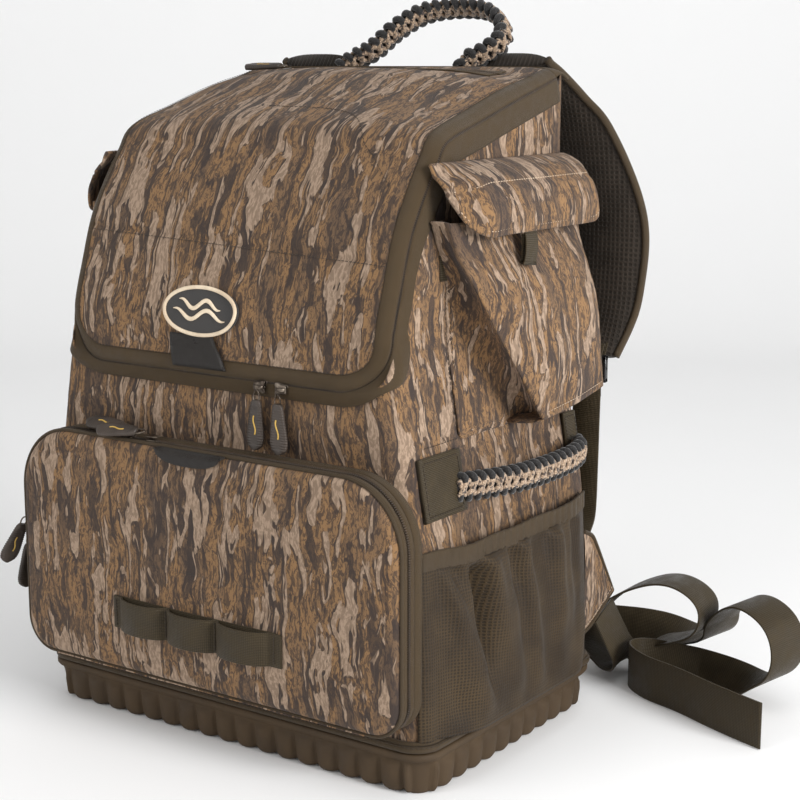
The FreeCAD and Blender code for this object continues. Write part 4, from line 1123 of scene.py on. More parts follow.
def make_front_pocket():
    """The front pocket's rim, panel, zipper teeth, piping and grab tab."""
    pocket_band("pocket_gusset_band", 120.0, 129.5, "root", 1.2, ("pocket_gusset",))
    pocket_band("pocket_tape_fixed", 129.3, 135.6, "root", 0.8)
    pocket_band("pocket_tape_moving", 137.2, 143.6, "front_pocket", 0.8,
                ("pocket_zipper_tape", "pocket_hinge_strip"))
    make_pocket_panel()
    line = pocket_outline(-0.9)
    line = np.roll(line, -np.argmax(line[:, 1] <= 58), 0)
    run = line[line[:, 1] > 58]
    forward = tangents(run)
    out = np.stack((forward[:, 1], np.zeros(len(run)), -forward[:, 0]), 1)
    zip_coil("pocket_zip_teeth", np.stack((run[:, 0], np.full(len(run), -136.4), run[:, 1]), 1), out, "root",
             width=3.4)
    rim = pocket_outline(-0.4)
    piping = Heap()
    path = np.stack((rim[:, 0], np.full(len(rim), -144.8), rim[:, 1]), 1)
    tube(piping, path, (0, 1, 0), 2.6, 2.6, closed=True)
    piping.piece("pocket_piping", "front_pocket", "binding", slot="trim_fabric")
    shares = np.linspace(-1, 1, 24)
    grid, cloth = [], []
    for i in np.linspace(0, 1, 12):
        x = -3.5 + 31.5 * shares
        low = 230.5 - 10.5 * np.sqrt(np.clip(1 - np.abs(shares) ** 2.6, 0, 1)) * i
        y = -(146.0 + 6.6 * ease(i * 2.2) + 0.4)
        grid.append(np.stack((x, np.full_like(x, y), low), 1))
        cloth.append(np.stack((x, low), 1))
    grid_piece("pocket_tab", grid, cloth, "front_pocket", "black_webbing", skin=1.4, flip=True,
               stands_for=("pocket_grab_tab",), slot="black_webbing")


def make_pocket_hinge():
    """Printed cloth that joins the foot of the pocket to the body."""
    x = np.linspace(-150, 150, 120)
    grid, cloth = [], []
    for share in np.linspace(0, 1, 16):
        y = -121.4 - 25.2 * share
        z = 46.8 + 1.8 * ease(share * 1.1) - 1.6 * math.sin(math.pi * share)
        z = z + ripple(x, np.full_like(x, y), 60, 0.3, 0.4)
        grid.append(np.stack((x, np.full_like(x, y), z), 1))
        cloth.append(np.stack((x + 2000, np.full_like(x, 60.0 + 25 * share)), 1))
    strip = grid_piece("pocket_hinge_cloth", grid, cloth, None, "camo_fabric", skin=1.0, slot="camo_fabric")
    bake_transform(strip)


def make_daisy_chain():
    """Webbing sewn flat at four places, standing off in three loops between them."""
    heap, thread = Heap(), Heap()
    profile = []
    for x in np.linspace(-78, 84, 120):
        loop = 0.0
        for low, high in ((-70, -26), (-22, 22), (26, 72)):
            if low < x < high:
                share = (x - low) / (high - low)
                loop = 8.5 * math.sin(math.pi * share) ** 0.55
        profile.append((x, loop))
    profile = np.array(profile)
    back = np.array([panel_face(x, 98.5) for x in profile[:, 0]])
    line = np.stack((profile[:, 0], -(back + 1.0 + profile[:, 1]), np.full(120, 98.5)), 1)
    heap.put(*sweep(line, (0, 0, 1), slab(25.0, 1.7, 0.6)))
    flat = np.stack((profile[:, 0], -(back + 0.3), np.full(120, 98.5)), 1)
    heap.put(*sweep(flat[::6], (0, 0, 1), slab(25.5, 1.0, 0.4)))
    heap.piece("daisy_chain", "front_pocket", "webbing", stands_for=("daisy_webbing",), slot="webbing")
    for x in (-75, -24, 24, 78):
        rise = np.interp(x, profile[:, 0], back + 2.1 + profile[:, 1])
        line = np.stack((np.full(8, x), np.full(8, -rise), np.linspace(88, 109, 8)), 1)
        stitches(thread, line, (0, -1, 0), 2.6, 1.9, 0.6, 0.25)
    thread.piece("daisy_stitching", "front_pocket", "dark_thread")


# ---------------------------------------------------------------- side pouches and flaps
POUCH = {"low": 250.0, "high": 398.0, "front": -50.0, "back": 108.0}


def pouch_section(z):
    """One level of the pouch, front to back: gusset tucked behind the folded edge, then the outer panel."""
    share = (z - POUCH["low"]) / (POUCH["high"] - POUCH["low"])
    inner = float(half_width(z)) + 1.0
    outer = 196 - 26 * share + 6.0 * math.sin(math.pi * min(share * 1.2, 1))
    fold_front = float(np.interp(z, (250, 257, 292, 323, 363, 384, 398), (14, 9, -20, -42, -60, -68, -71)))
    fold_back = 104 - 2 * share
    deep = outer - inner
    tuck = 13.0 * (1 - share) ** 0.5
    belly = 3.0 * math.sin(math.pi * share)
    return np.array(((inner, POUCH["front"]), (inner + 1.5, 0.5 * (POUCH["front"] + fold_front) - 2),
                     (inner + 2.5, fold_front + 0.4 * tuck), (inner + 0.45 * deep, fold_front + tuck),
                     (outer - 6.0, fold_front + 0.35 * tuck), (outer - 1.0, fold_front - 1.5),
                     (outer + 1.0, fold_front + 3.0), (outer + 2.6 + belly, fold_front + 24),
                     (outer + 3.0 + belly, 0.5 * (fold_front + fold_back)),
                     (outer + 2.0 + belly, fold_back - 22),
                     (outer + 0.4, fold_back - 2.5), (outer - 3.0, fold_back + 1.0),
                     (inner + 0.5 * deep, fold_back - 5), (inner, POUCH["back"])))


def make_pouches():
    """Bellows pouches that stand out most at their foot, with a folded edge down each side."""
    for side, word in ((1, "right"), (-1, "left")):
        grid, cloth = [], []
        for share in np.linspace(0, 1, 70):
            z = POUCH["low"] + share * (POUCH["high"] - POUCH["low"])
            line = resample(curved(pouch_section(z), 2.0), 2.0)
            count = 130
            marks = np.linspace(0, 1, len(line))
            line = np.stack([np.interp(np.linspace(0, 1, count), marks, line[:, k]) for k in range(2)], 1)
            run = np.concatenate(([0], np.cumsum(np.linalg.norm(np.diff(line, axis=0), axis=1))))
            out = tangents(line)
            out = np.stack((out[:, 1], -out[:, 0]), 1)
            swell = ripple(run, np.full(count, z), 62, 1.5, 0.3)
            swell += ripple(run, np.full(count, z), 27, 0.5, 1.1)
            lean = 0.9 * np.sin((run + 0.55 * z) * TURN / 46) * np.exp(-((run - 30) / 26) ** 2)
            fade = (0.35 + 0.65 * ease(share * 8)) * ease(np.minimum(run, run[-1] - run) / 12)
            line = line + out * ((swell + lean) * fade)[:, None]
            level = z + (1 - share) * 12 * np.clip((line[:, 1] - 10) / 95, 0, 1)
            grid.append(np.column_stack((side * line[:, 0], line[:, 1], level)))
            cloth.append(np.stack((run + 3100 + 600 * side,
                                   np.full(count, z) + 0.55 * np.clip(36 - run, 0, 36)), 1))
        foot = grid[0]
        low = []
        for share in (1.0, 0.75, 0.5, 0.25):
            inner = side * (half_width(236.0) + 0.5)
            spot = foot.copy()
            spot[:, 0] = foot[:, 0] * (1 - share) + inner * share
            spot[:, 2] = foot[:, 2] - 1.5 - 5 * share * np.clip((197 - np.abs(foot[:, 0])) / 20 + 0.5, 0, 1)
            low.append(spot)
        grid = low + grid
        shift = [np.stack((cloth[0][:, 0], cloth[0][:, 1] - drop), 1) for drop in (30, 22, 14, 7)]
        cloth = shift + cloth
        grid_piece(f"pouch_{word}", grid, cloth, "root", "camo_fabric", flip=side < 0, skin=1.4,
                   stands_for=(f"side_pouch_{word}",), slot="camo_fabric")
        heap = Heap()
        spots = np.array(grid[5])
        line = spots[(np.abs(spots[:, 0]) > 195) & (spots[:, 1] > 16) & (spots[:, 1] < 100)]
        stitches(heap, line + (side * 0.5, 0, 3.0), (side, 0, 0), 3.6, 2.3, 0.5, 0.25)
        heap.piece(f"pouch_stitching_{word}", "root", "pale_thread")


FLAP_SECTION = ((151.5, 436.0), (161.0, 433.5), (172.0, 428.5), (181.5, 420.5), (186.5, 411.0),
                (188.6, 402.0), (188.8, 394.0), (188.0, 388.5))


FLAP_RIDGE = 33.0
FLAP_FRONT = -72.0
FLAP_BACK = 112.0


def flap_point(section, run, y, share):
    """A point on the flap: share 0 at its seam, 1 at its free edge, which curves up at each end."""
    whole = run[-1]
    front = min(max((FLAP_FRONT + 34 - y) / 34, 0.0), 1.0)
    back = min(max((y - FLAP_BACK + 20) / 20, 0.0), 1.0)
    reach = FLAP_RIDGE + (whole - FLAP_RIDGE) * max(math.sqrt(1 - max(front, back) ** 2), 0.04)
    at = share * np.minimum(reach / whole, 1.0) * whole
    x = np.interp(at, run, section[:, 0])
    z = np.interp(at, run, section[:, 1])
    sag = 6.0 * ease((FLAP_FRONT + 40 - y) / 40) * ease(share * 4)
    near = ease((FLAP_FRONT + 26 - y) / 26) * 0.55 + 0.3 * ease((y - FLAP_BACK + 14) / 14)
    rest = np.interp(z, (388, 400, 420, 436), (175.0, 168.0, 157.0, 151.5))
    return x + (rest - x) * near, z - sag, at


def make_flaps():
    """Flaps that hang over the pouch mouth, rounded at their lower corners, with a webbing pull tab."""
    section = curved(FLAP_SECTION, 1.6)
    run = np.arange(len(section)) * 1.6
    shares = np.linspace(0, 1, 46)
    ys = np.linspace(FLAP_FRONT, FLAP_BACK, 120)
    for side, word in ((1, "right"), (-1, "left")):
        grid, cloth = [], []
        for y in ys:
            x, z, at = flap_point(section, run, y, shares)
            line_y = np.full(len(shares), y)
            swell = ripple(line_y, at, 70, 1.4, 0.8) + ripple(line_y, at, 24, 0.4, 0.1)
            swell = (swell - 1.2 * hump(at - FLAP_RIDGE, 3.0)) * ease(at / 10)
            x = np.maximum(x + swell, half_width(z) + 1.2)
            grid.append(np.stack((side * x, line_y, z + 0.3 * swell), 1))
            cloth.append(np.stack((line_y, 5200 + 300 * side - at), 1))
        grid_piece(f"flap_cloth_{word}", grid, np.array(cloth), f"flap_{word}", "camo_fabric", flip=side > 0,
                   skin=2.2, stands_for=(f"side_flap_{word}",), slot="camo_fabric")
        grid = np.array(grid)
        heap = Heap()
        ridge_line = []
        for row, y in zip(grid[3:-3], ys[3:-3]):
            at = flap_point(section, run, y, shares)[2]
            ridge_line.append([np.interp(FLAP_RIDGE - 2.5, at, row[:, k]) for k in range(3)])
        for line in (resample(np.array(ridge_line), 1.7), resample(grid[2:-2, -3], 1.7)):
            stitches(heap, line + (side * 1.7, 0, 0.9), (side, 0, 0.5), 3.4, 2.6, 0.8, 0.3)
        heap.piece(f"flap_stitching_{word}", f"flap_{word}", "pale_thread")
        tab = Heap()
        path = np.array(((side * 185.4, 5, 392), (side * 188.4, 4.6, 384), (side * 189.4, 3.4, 374),
                        (side * 188.6, 2.4, 366.5), (side * 186.8, 3.0, 365.8), (side * 186.0, 4.4, 374),
                        (side * 185.6, 5.0, 386)))
        tab.put(*sweep(curved(path, 1.5), (0, 1, 0), slab(16, 1.5)))
        tab.piece(f"flap_tab_{word}", f"flap_{word}", "webbing", slot="webbing")


# ---------------------------------------------------------------- mesh pockets
def corner_draw(y):
    """How far the body's front corner has turned away from its side wall."""
    past = np.clip(CORNER - HALF_DEPTH - y, 0, CORNER - 0.5)
    return CORNER - np.sqrt(CORNER ** 2 - past ** 2)


MESH_FRONT, MESH_BACK = -119, 106
MESH_FOOT, MESH_TALL = 40, 124
MESH_END = 43           # the gathers build up over this much at each end
MESH_COLUMNS = 240


def make_mesh_pockets():
    """Gathered mesh pockets with deep folds hanging from a ribbed elastic top."""
    for side, word in ((1, "right"), (-1, "left")):
        ys = np.linspace(MESH_FRONT, MESH_BACK, MESH_COLUMNS)
        grid, cloth = [], []
        for share in np.linspace(0, 1, 60):
            z = MESH_FOOT + MESH_TALL * share
            flat = np.clip((MESH_BACK - np.abs(ys)) / MESH_END, 0, 1)
            bulge = 15.6 * np.sin(flat * math.pi / 2) ** 1.3 * (1 - 0.25 * share ** 3)
            fold = -15.0 * hump(ys + 64 - 16 * (1 - share), 7.0) * ease(share * 1.6) * ease((1 - share) * 8)
            fan = (ys - 20) * (1.25 - 0.35 * share) + 20
            fan_turn = fan * TURN / 44 + 1.6 * share + 0.9 * np.sin(ys / 19)
            gather = 5.2 * np.sin(fan_turn) * (0.3 + 0.7 * share ** 1.5)
            slow = ripple(ys, np.full(MESH_COLUMNS, z), 60, 2.0, 2.0)
            gather += 2.2 * np.sin(fan * TURN / 21 + 3 * share) * share ** 2 + slow
            base = half_width(z) + 3.4 - corner_draw(ys)
            loose = (fold + gather) * ease(flat * 2.2)
            x = base + bulge + loose * ease(share * 6) * ease((1 - share) * 14 + 0.2)
            x = np.maximum(x, half_width(z) + 1.5 - corner_draw(ys))
            grid.append(np.stack((side * x, ys, np.full(MESH_COLUMNS, z)), 1))
            cloth.append(np.stack((ys * 1.12, np.full(MESH_COLUMNS, z)), 1))
        grid_piece(f"mesh_cloth_{word}", grid, cloth, "root", "mesh", flip=side < 0, skin=1.2,
                   stands_for=(f"mesh_pocket_{word}",), slot="mesh")
        heap = Heap()
        line_y = np.linspace(MESH_FRONT, MESH_BACK, MESH_COLUMNS // 2)
        flat = np.clip((MESH_BACK - np.abs(line_y)) / MESH_END, 0, 1)
        x = half_width(169.0) - corner_draw(line_y) + 4.0 + 10.4 * np.sin(flat * math.pi / 2) ** 1.3
        x = x + 0.5 * np.sin(line_y * TURN / 9)
        path = np.stack((side * x, line_y, 169.5 + 0.5 * np.sin(line_y * TURN / 60)), 1)
        heap.put(*sweep(path, (0, 0, 1), slab(13.5, 2.6, 1.0)))
        stands = ("elastic_bands",) if side > 0 else ()
        heap.piece(f"mesh_band_{word}", "root", "binding", stands_for=stands, slot="trim_fabric")


# ---------------------------------------------------------------- corded handles
BAR_WIDE, BAR_THICK, BAR_PITCH = 19.0, 7.4, 8.4


def cobra_bar(name, line, across, body, stands_for):
    """A bar of knotted cord: dark loops down both edges and pale cords crossed over the middle."""
    line = resample(line, 0.6)
    forward = tangents(line)
    across = np.broadcast_to(np.asarray(across, float), line.shape)
    across = unit(across - np.sum(across * forward, 1, keepdims=True) * forward)
    up = np.cross(forward, across)
    heap = Heap()
    knots = int(len(line) * 0.6 / BAR_PITCH)
    step = len(line) / knots

    def place(share, s, t):
        """Points at a knot's share of the bar, s across it and t above it."""
        k = np.clip(share * step, 0, len(line) - 1)
        low = np.floor(k).astype(int)
        return line[low] + across[low] * np.asarray(s)[:, None] + up[low] * np.asarray(t)[:, None]

    tube(heap, line, across, BAR_WIDE * 0.55, BAR_THICK * 0.62, slot=0)
    for i in range(knots):
        middle = int(min(i * step, len(line) - 1))
        turn = np.linspace(-0.62 * math.pi, 0.62 * math.pi, 13)
        for edge in (1, -1):
            sway = i + 0.5 + 0.26 * np.sin(turn) * edge
            s = edge * (BAR_WIDE * 0.27 + BAR_WIDE * 0.20 * np.cos(turn))
            t = BAR_THICK * 0.42 * np.sin(turn)
            tube(heap, place(sway, s, t), forward[middle], 5.4, 4.6, count=9)
        for face in (1, -1):
            run = np.linspace(-1, 1, 11)
            for slant in (1, -1):
                s = run * BAR_WIDE * 0.30
                t = face * (BAR_THICK * 0.45 * np.sqrt(np.clip(1 - (run * 0.75) ** 2, 0, 1))
                            + (0.9 if slant > 0 else -0.1))
                share = i + 0.5 + slant * face * 0.42 * run
                tube(heap, place(share, s, t), forward[middle], 4.4, 3.2, count=9, slot=1)
    return heap.piece(name, body, ("paracord_black", "paracord_tan"), stands_for=stands_for, slot="paracord")


def web_patch(heap, thread, corners, normal):
    """A stitched square of webbing with a box and cross seam."""
    corners = np.array(corners, float)
    shares = np.linspace(0, 1, 9)
    low = corners[0] + (corners[1] - corners[0]) * shares[:, None]
    high = corners[3] + (corners[2] - corners[3]) * shares[:, None]
    middle, across = (low + high) / 2, high[0] - low[0]
    heap.put(*sweep(middle, across, slab(float(np.linalg.norm(across)), 3.0, 0.9)))
    inner = [corners.mean(0) + (c - corners.mean(0)) * 0.84 + np.array(normal) * 1.7 for c in corners]
    for k in range(4):
        stitches(thread, np.array((inner[k], inner[(k + 1) % 4])), normal, 3.0, 2.0, 0.55, 0.25)


# the limp top handle, leaning back and over to the right
TOP_HANDLE = ((-60, 113, 500), (-48, 115, 508), (-31, 119.5, 517), (-15, 127, 532), (5, 138, 545),
              (31, 144, 549), (60, 144, 547), (79, 138, 537), (85, 130, 524), (77, 120.5, 514),
              (64, 114, 507), (60, 113, 500))


def make_handles():
    """Corded grab handles on both sides and on top, with the webbing that holds the side ones."""
    for side, word in ((1, "right"), (-1, "left")):
        plan = curved(((171.5, -66), (176, -50), (181, -30), (186, -5), (188, 22), (189, 48), (188.5, 70),
                       (183, 92), (175, 100)), 2)
        line = np.column_stack((side * plan[:, 0], plan[:, 1],
                                212 - 3.0 * np.sin(np.linspace(0, math.pi, len(plan)))))
        cobra_bar(f"side_cord_{word}", line, (0, 0, 1), f"grip_{word}", (f"side_handle_{word}",))
        heap, thread = Heap(), Heap()
        for y0, y1 in ((-108, -57), (90, 108)):
            corners = [(side * (half_width(z) + 2.6), y, z)
                       for y, z in ((y0, 195), (y1, 195), (y1, 239), (y0, 239))]
            web_patch(heap, thread, corners, (side, 0, 0.18))
        stands = ("handle_patches",) if side > 0 else ()
        heap.piece(f"handle_patch_{word}", "root", "webbing", stands_for=stands, slot="webbing")
        thread.piece(f"handle_stitching_{word}", "root", "dark_thread")
    cobra_bar("top_cord", curved(TOP_HANDLE, 2.0), (0.1, 0.80, -0.6), "grab_handle", ("top_handle",))


# ---------------------------------------------------------------- shoulder straps, wings and back
STRAP_SIDE = ((121, 503), (135, 492), (148, 472), (158, 446), (164, 424), (169, 396), (171, 368),
              (170, 340), (168, 318), (161, 298), (151, 278))
STRAP_INNER = ((500, 60), (464, 78), (430, 96), (372, 122), (320, 128), (276, 140))
STRAP_OUTER = ((500, 130), (476, 148), (452, 166), (384, 190), (320, 188), (276, 178))


def make_shoulder_straps():
    """Padded harness straps: mesh towards the wearer, print outside, bound round the edge."""
    spine = curved(STRAP_SIDE, 3.0)
    inner_z, inner_x = curved(STRAP_INNER[::-1], 4.0).T
    outer_z, outer_x = curved(STRAP_OUTER[::-1], 4.0).T
    slope = tangents(spine)
    out = np.stack((slope[:, 1], -slope[:, 0]), 1)
    for side, word in ((1, "right"), (-1, "left")):
        rows, cloth, edges = [], [], ([], [])
        run = np.arange(len(spine)) * 3.0
        for k, (y, z) in enumerate(spine):
            x0, x1 = np.interp(z, inner_z, inner_x), np.interp(z, outer_z, outer_x)
            shares = np.linspace(-1, 1, 18)
            puff = 5.6 * (1 - np.abs(shares) ** 3.2) + 1.0
            x = (x0 + x1) / 2 + shares * (x1 - x0) / 2
            near = np.stack((side * x, y - out[k, 0] * puff - 6 * out[k, 0],
                             z - out[k, 1] * puff - 6 * out[k, 1]), 1)
            far = np.stack((side * x, y + out[k, 0] * puff - 6 * out[k, 0],
                            z + out[k, 1] * puff - 6 * out[k, 1]), 1)
            rows.append(np.vstack((near, far[::-1])))
            cloth.append(np.stack((np.concatenate((x, x[::-1])) + 7000, np.full(36, run[k])), 1))
            for edge, pick in ((edges[0], 0), (edges[1], -1)):
                edge.append((near[pick] + far[pick]) / 2)
        grid = np.array(rows)
        faces = grid_faces(len(grid), 36, round_columns=True)
        faces += [tuple(range(36))[::-1], tuple((len(grid) - 1) * 36 + j for j in range(36))]
        slots = [1 if (f[0] % 36) < 17 and len(f) == 4 else 0 for f in faces]
        if side < 0:
            faces = [f[::-1] for f in faces]
        strap = raw_mesh(f"strap_pad_{word}", grid.reshape(-1, 3), faces, np.array(cloth).reshape(-1, 2),
                         slots)
        finish_piece(strap, "root", ("spacer_mesh", "camo_fabric"), (f"shoulder_strap_{word}",),
                     "spacer_mesh")
        heap = Heap()
        for edge in edges:
            heap.put(*sweep(edge, (0, 1, 0.3), oval(7.0, 6.0, 12)))
        heap.piece(f"strap_binding_{word}", "root", "binding", slot="trim_fabric")
        make_strap_hardware(side, word)


def make_strap_hardware(side, word):
    """Adjusting webbing that threads the three-bar buckle."""
    x = side * 159.5
    heap = Heap()
    line = np.array(((x, 126, 128), (x, 134, 136), (x, 141, 150), (x, 143, 190), (x, 144, 230),
                     (x, 145.5, 256), (x, 150.0, 263), (x, 150.6, 268), (x, 145.6, 273), (x, 143.5, 262),
                     (x, 145.0, 244)))
    heap.put(*sweep(curved(line, 2.0), (1, 0, 0), slab(24.6, 1.5)))
    loop = np.array(((x, 156, 286), (x, 151, 276), (x, 147.6, 272.5), (x, 144.8, 276), (x, 150, 286)))
    heap.put(*sweep(curved(loop, 2.0), (1, 0, 0), slab(24.6, 1.4)))
    stands = ("strap_webbing",) if side > 0 else ()
    heap.piece(f"strap_web_{word}", "root", "webbing", stands_for=stands, slot="webbing")


def make_wings():
    """Flat hip wings that pull the waist webbing in towards the wearer."""
    outline = np.array(((121, 138), (130, 134), (138, 128), (156, 101), (172, 76), (156, 67), (140, 58),
                        (130, 54), (121, 52)), float)
    for side, word in ((1, "right"), (-1, "left")):
        grid, cloth = [], []
        top, low = curved(outline[:5], 2.0), curved(outline[4:][::-1], 2.0)
        count = 40
        ends = [np.stack([np.interp(np.linspace(0, 1, count), np.linspace(0, 1, len(edge)), edge[:, k])
                          for k in range(2)], 1)
                for edge in (top, low)]
        for share in np.linspace(0, 1, 14):
            line = ends[0] * (1 - share) + ends[1] * share
            puff = 2.4 * np.sin(math.pi * share) ** 0.5 * np.ones(count)
            grid.append(np.column_stack((side * (172 + puff), line)))
            cloth.append(line + 8200)
        back = [np.column_stack((side * (344 - np.abs(row[:, 0])), row[:, 1:])) for row in grid]
        grid_piece(f"wing_outer_{word}", grid, cloth, "root", "camo_fabric", flip=side > 0,
                   slot="camo_fabric", stands_for=("hip_wings",) if side > 0 else ())
        grid_piece(f"wing_inner_{word}", back, cloth, "root", "spacer_mesh", flip=side < 0,
                   slot="spacer_mesh")
        heap = Heap()
        for edge in ends:
            path = np.column_stack((np.full(count, side * 172), edge))
            heap.put(*sweep(path, (1, 0, 0), oval(4.2, 3.6, 10)))
        heap.piece(f"wing_binding_{word}", "root", "binding", slot="trim_fabric")
        thread = Heap()
        inner = ends[1] + (-2.0, 5.5)
        stitches(thread, np.column_stack((np.full(count, side * 174.2), inner)),
                 (side, 0, 0), 3.4, 2.3, 0.6, 0.3)
        thread.piece(f"wing_stitching_{word}", "root", "pale_thread")


def make_back_pads():
    """Six puffed mesh pads up the back, each pulled in round its edge."""
    stands = ("back_pads",)
    for row, low in enumerate((110, 210, 310)):
        for word, x0 in (("right", 18), ("left", -118)):
            shares = np.linspace(-1, 1, 26)
            a, b = np.meshgrid(shares, shares)
            puff = 11.5 * np.clip(1 - (np.abs(a) ** 5 + np.abs(b) ** 5), 0, 1) ** 0.42
            squeeze = 1 - 0.035 * (np.abs(a) * np.abs(b)) ** 3
            x = x0 + 50 + 50 * a * squeeze
            z = low + 44 + 44 * b * squeeze
            front = np.stack((x, 121.4 + puff, z), -1)
            rear = np.stack((x, np.full_like(x, 120.2), z), -1)[:, ::-1]
            rings = np.concatenate((front, rear), 1)
            faces = grid_faces(26, 52, round_columns=True)
            faces += [tuple(range(52))[::-1], tuple(25 * 52 + k for k in range(52))]
            pad = raw_mesh(f"back_pad_{row}_{word}", rings.reshape(-1, 3), faces,
                           rings[:, :, (0, 2)].reshape(-1, 2))
            finish_piece(pad, "root", "spacer_mesh", stands, "spacer_mesh")
            stands = ()


# ---------------------------------------------------------------- zipper sliders and pulls
def turned(spots, origin, along, across):
    """Local (across, along, up) points set in place."""
    along, across = unit(along), unit(across)
    up = np.cross(across, along)
    spots = np.asarray(spots, float)
    return np.asarray(origin, float) + spots[:, :1] * across + spots[:, 1:2] * along + spots[:, 2:3] * up


PULL_WIDTH = ((0.0, 3.0), (0.05, 4.3), (0.15, 5.0), (0.35, 5.9), (0.6, 7.2), (0.78, 7.6), (0.9, 6.6),
              (0.97, 4.2), (1.0, 1.8))


def pull_shape(long=36.0):
    """Teardrop rubber pull with ribbed flanks and a sunk plain middle."""
    marks = np.linspace(0, 1, 90)
    half = np.interp(marks, *np.array(PULL_WIDTH).T)
    for _ in range(3):
        half[1:-1] = (half[:-2] + half[1:-1] + half[2:]) / 3
    turn = np.linspace(0, TURN, 28, endpoint=False)
    spots = []
    for share, w in zip(marks, half):
        rib = 0.28 * math.sin(share * long * TURN / 1.9) * (0.08 < share < 0.93)
        ring = np.stack((w * np.sign(np.cos(turn)) * np.abs(np.cos(turn)) ** 0.75, np.full(28, share * long),
                         2.2 * np.sign(np.sin(turn)) * np.abs(np.sin(turn)) ** 0.6), 1)
        flank = ease((np.abs(ring[:, 0]) / w - 0.42) / 0.2)
        ring[:, 2] *= 1 + (rib * 0.5) * flank
        ring[:, 0] *= 1 + 0.10 * rib * flank
        hollow = hump(ring[:, 0], 0.38 * w) * ease((share - 0.12) * 14) * ease((0.93 - share) * 14)
        ring[:, 2] -= np.sign(ring[:, 2]) * 0.55 * hollow * (np.abs(ring[:, 2]) > 1.4)
        spots.append(ring)
    faces = grid_faces(90, 28, round_columns=True)
    faces += [tuple(range(28))[::-1], tuple(89 * 28 + k for k in range(28))]
    return np.vstack(spots), faces


def make_pull(name, origin, along, across, body, stands_for):
    """Wire ring and rubber pull, with a plain raised stroke for its mark."""
    heap = Heap()
    shape, faces = pull_shape()
    shape[:, 1] += 6.0
    heap.put(turned(shape, origin, along, across), faces, slot=0)
    turn = np.linspace(0, TURN, 24, endpoint=False)
    ring = np.stack((2.5 * np.cos(turn), 3.2 + 4.6 * np.sin(turn), 0.5 * np.sin(2 * turn)), 1)
    path = turned(ring, origin, along, across)
    heap.put(*sweep(path, np.cross(unit(along), unit(across)), oval(1.2, 1.2, 8), closed=True), slot=1)
    t = np.linspace(-1, 1, 24)
    for face in (1, -1):
        stroke = np.stack((1.1 * np.sin(t * 2.6), 24 + 6.8 * t, np.full(24, face * 1.85)), 1)
        heap.put(*sweep(turned(stroke, origin, along, across), across, oval(1.25, 0.7, 8)), slot=2)
    heap.piece(name, body, ("pull_rubber", "slider_metal", "pull_mark"), stands_for=stands_for,
               slot="pull_rubber")


SLIDER_OUTLINE = ((-2.3, -5.0), (2.3, -5.0), (3.2, -3.6), (3.6, -0.5), (4.5, 2.2), (4.6, 4.2), (3.4, 5.0),
                  (1.2, 4.4), (0, 3.2), (-1.2, 4.4), (-3.4, 5.0), (-4.6, 4.2), (-4.5, 2.2), (-3.6, -0.5),
                  (-3.2, -3.6))


def make_slider(name, origin, along, across, body, stands_for):
    """Zipper slider: two plates, the diamond between them and the arched bridge."""
    heap = Heap()
    outline = curved(SLIDER_OUTLINE, 0.8, closed=True)
    count = len(outline)
    for low, high in ((-2.0, -0.9), (0.9, 2.0)):
        rings = []
        for z, draw in ((low, 0.86), (low + 0.25, 1.0), (high - 0.25, 1.0), (high, 0.86)):
            rings.append(np.column_stack((outline * draw, np.full(count, z))))
        faces = grid_faces(4, count, round_columns=True)
        faces += [tuple(range(count))[::-1], tuple(3 * count + k for k in range(count))]
        heap.put(turned(np.vstack(rings), origin, along, across), faces)
    heap.put(*sweep(turned(((0, 3.2, -1.2), (0, 3.2, 1.2)), origin, along, across), across,
                    oval(2.4, 2.4, 8)))
    bridge = curved(((0, -4.2, 1.6), (0, -3.4, 3.4), (0, -0.6, 4.4), (0, 2.4, 3.6), (0, 3.6, 1.6)), 0.7)
    heap.put(*sweep(turned(bridge, origin, along, across), across, slab(2.6, 1.1, 0.3)))
    heap.piece(name, body, "slider_metal", stands_for=stands_for, slot="slider_metal")


# name: slider centre, its way along the zipper, its width, pull centre line start, pull direction, pull width
ZIPS = {
    "main_left": ((44, -124.6, 280), (1, 0, 0), (0, 0, -1), (44, -129.4, 277), (-0.02, -0.03, -1), (1, 0, 0)),
    "main_right": ((63, -124.6, 280), (-1, 0, 0), (0, 0, 1), (63, -129.4, 276), (0.05, -0.03, -1), (1, 0, 0)),
    "pocket_left": ((-74, -136.4, 232.6), (1, 0, 0), (0, 1, 0), (-76, -136.0, 238.2), (-1, 0.02, -0.02),
                    (0.02, 1, 0.45)),
    "pocket_right": ((-50, -136.4, 232.6), (-1, 0, 0), (0, -1, 0), (-53, -143.5, 238.6), (-1, -0.12, -0.05),
                     (-0.12, 1, 0.5)),
    "side_upper": ((-184.6, -130, 160), (0, 0, -1), (0, 1, 0), (-190, -138, 150), (-0.50, -0.14, -1),
                   (0.3, 1, -0.2)),
    "side_lower": ((-184.6, -129, 134), (0, 0, 1), (0, -1, 0), (-190, -134, 134), (-0.12, -0.05, -1),
                   (0.2, 1, 0)),
    "lid_pocket": ((-93, 79, 499.0), (-1, 0, -0.1), (0, -0.98, -0.2), (-93, 79, 503.5), (-1, 0, -0.02),
                   (0, 1, 0.2)),
}


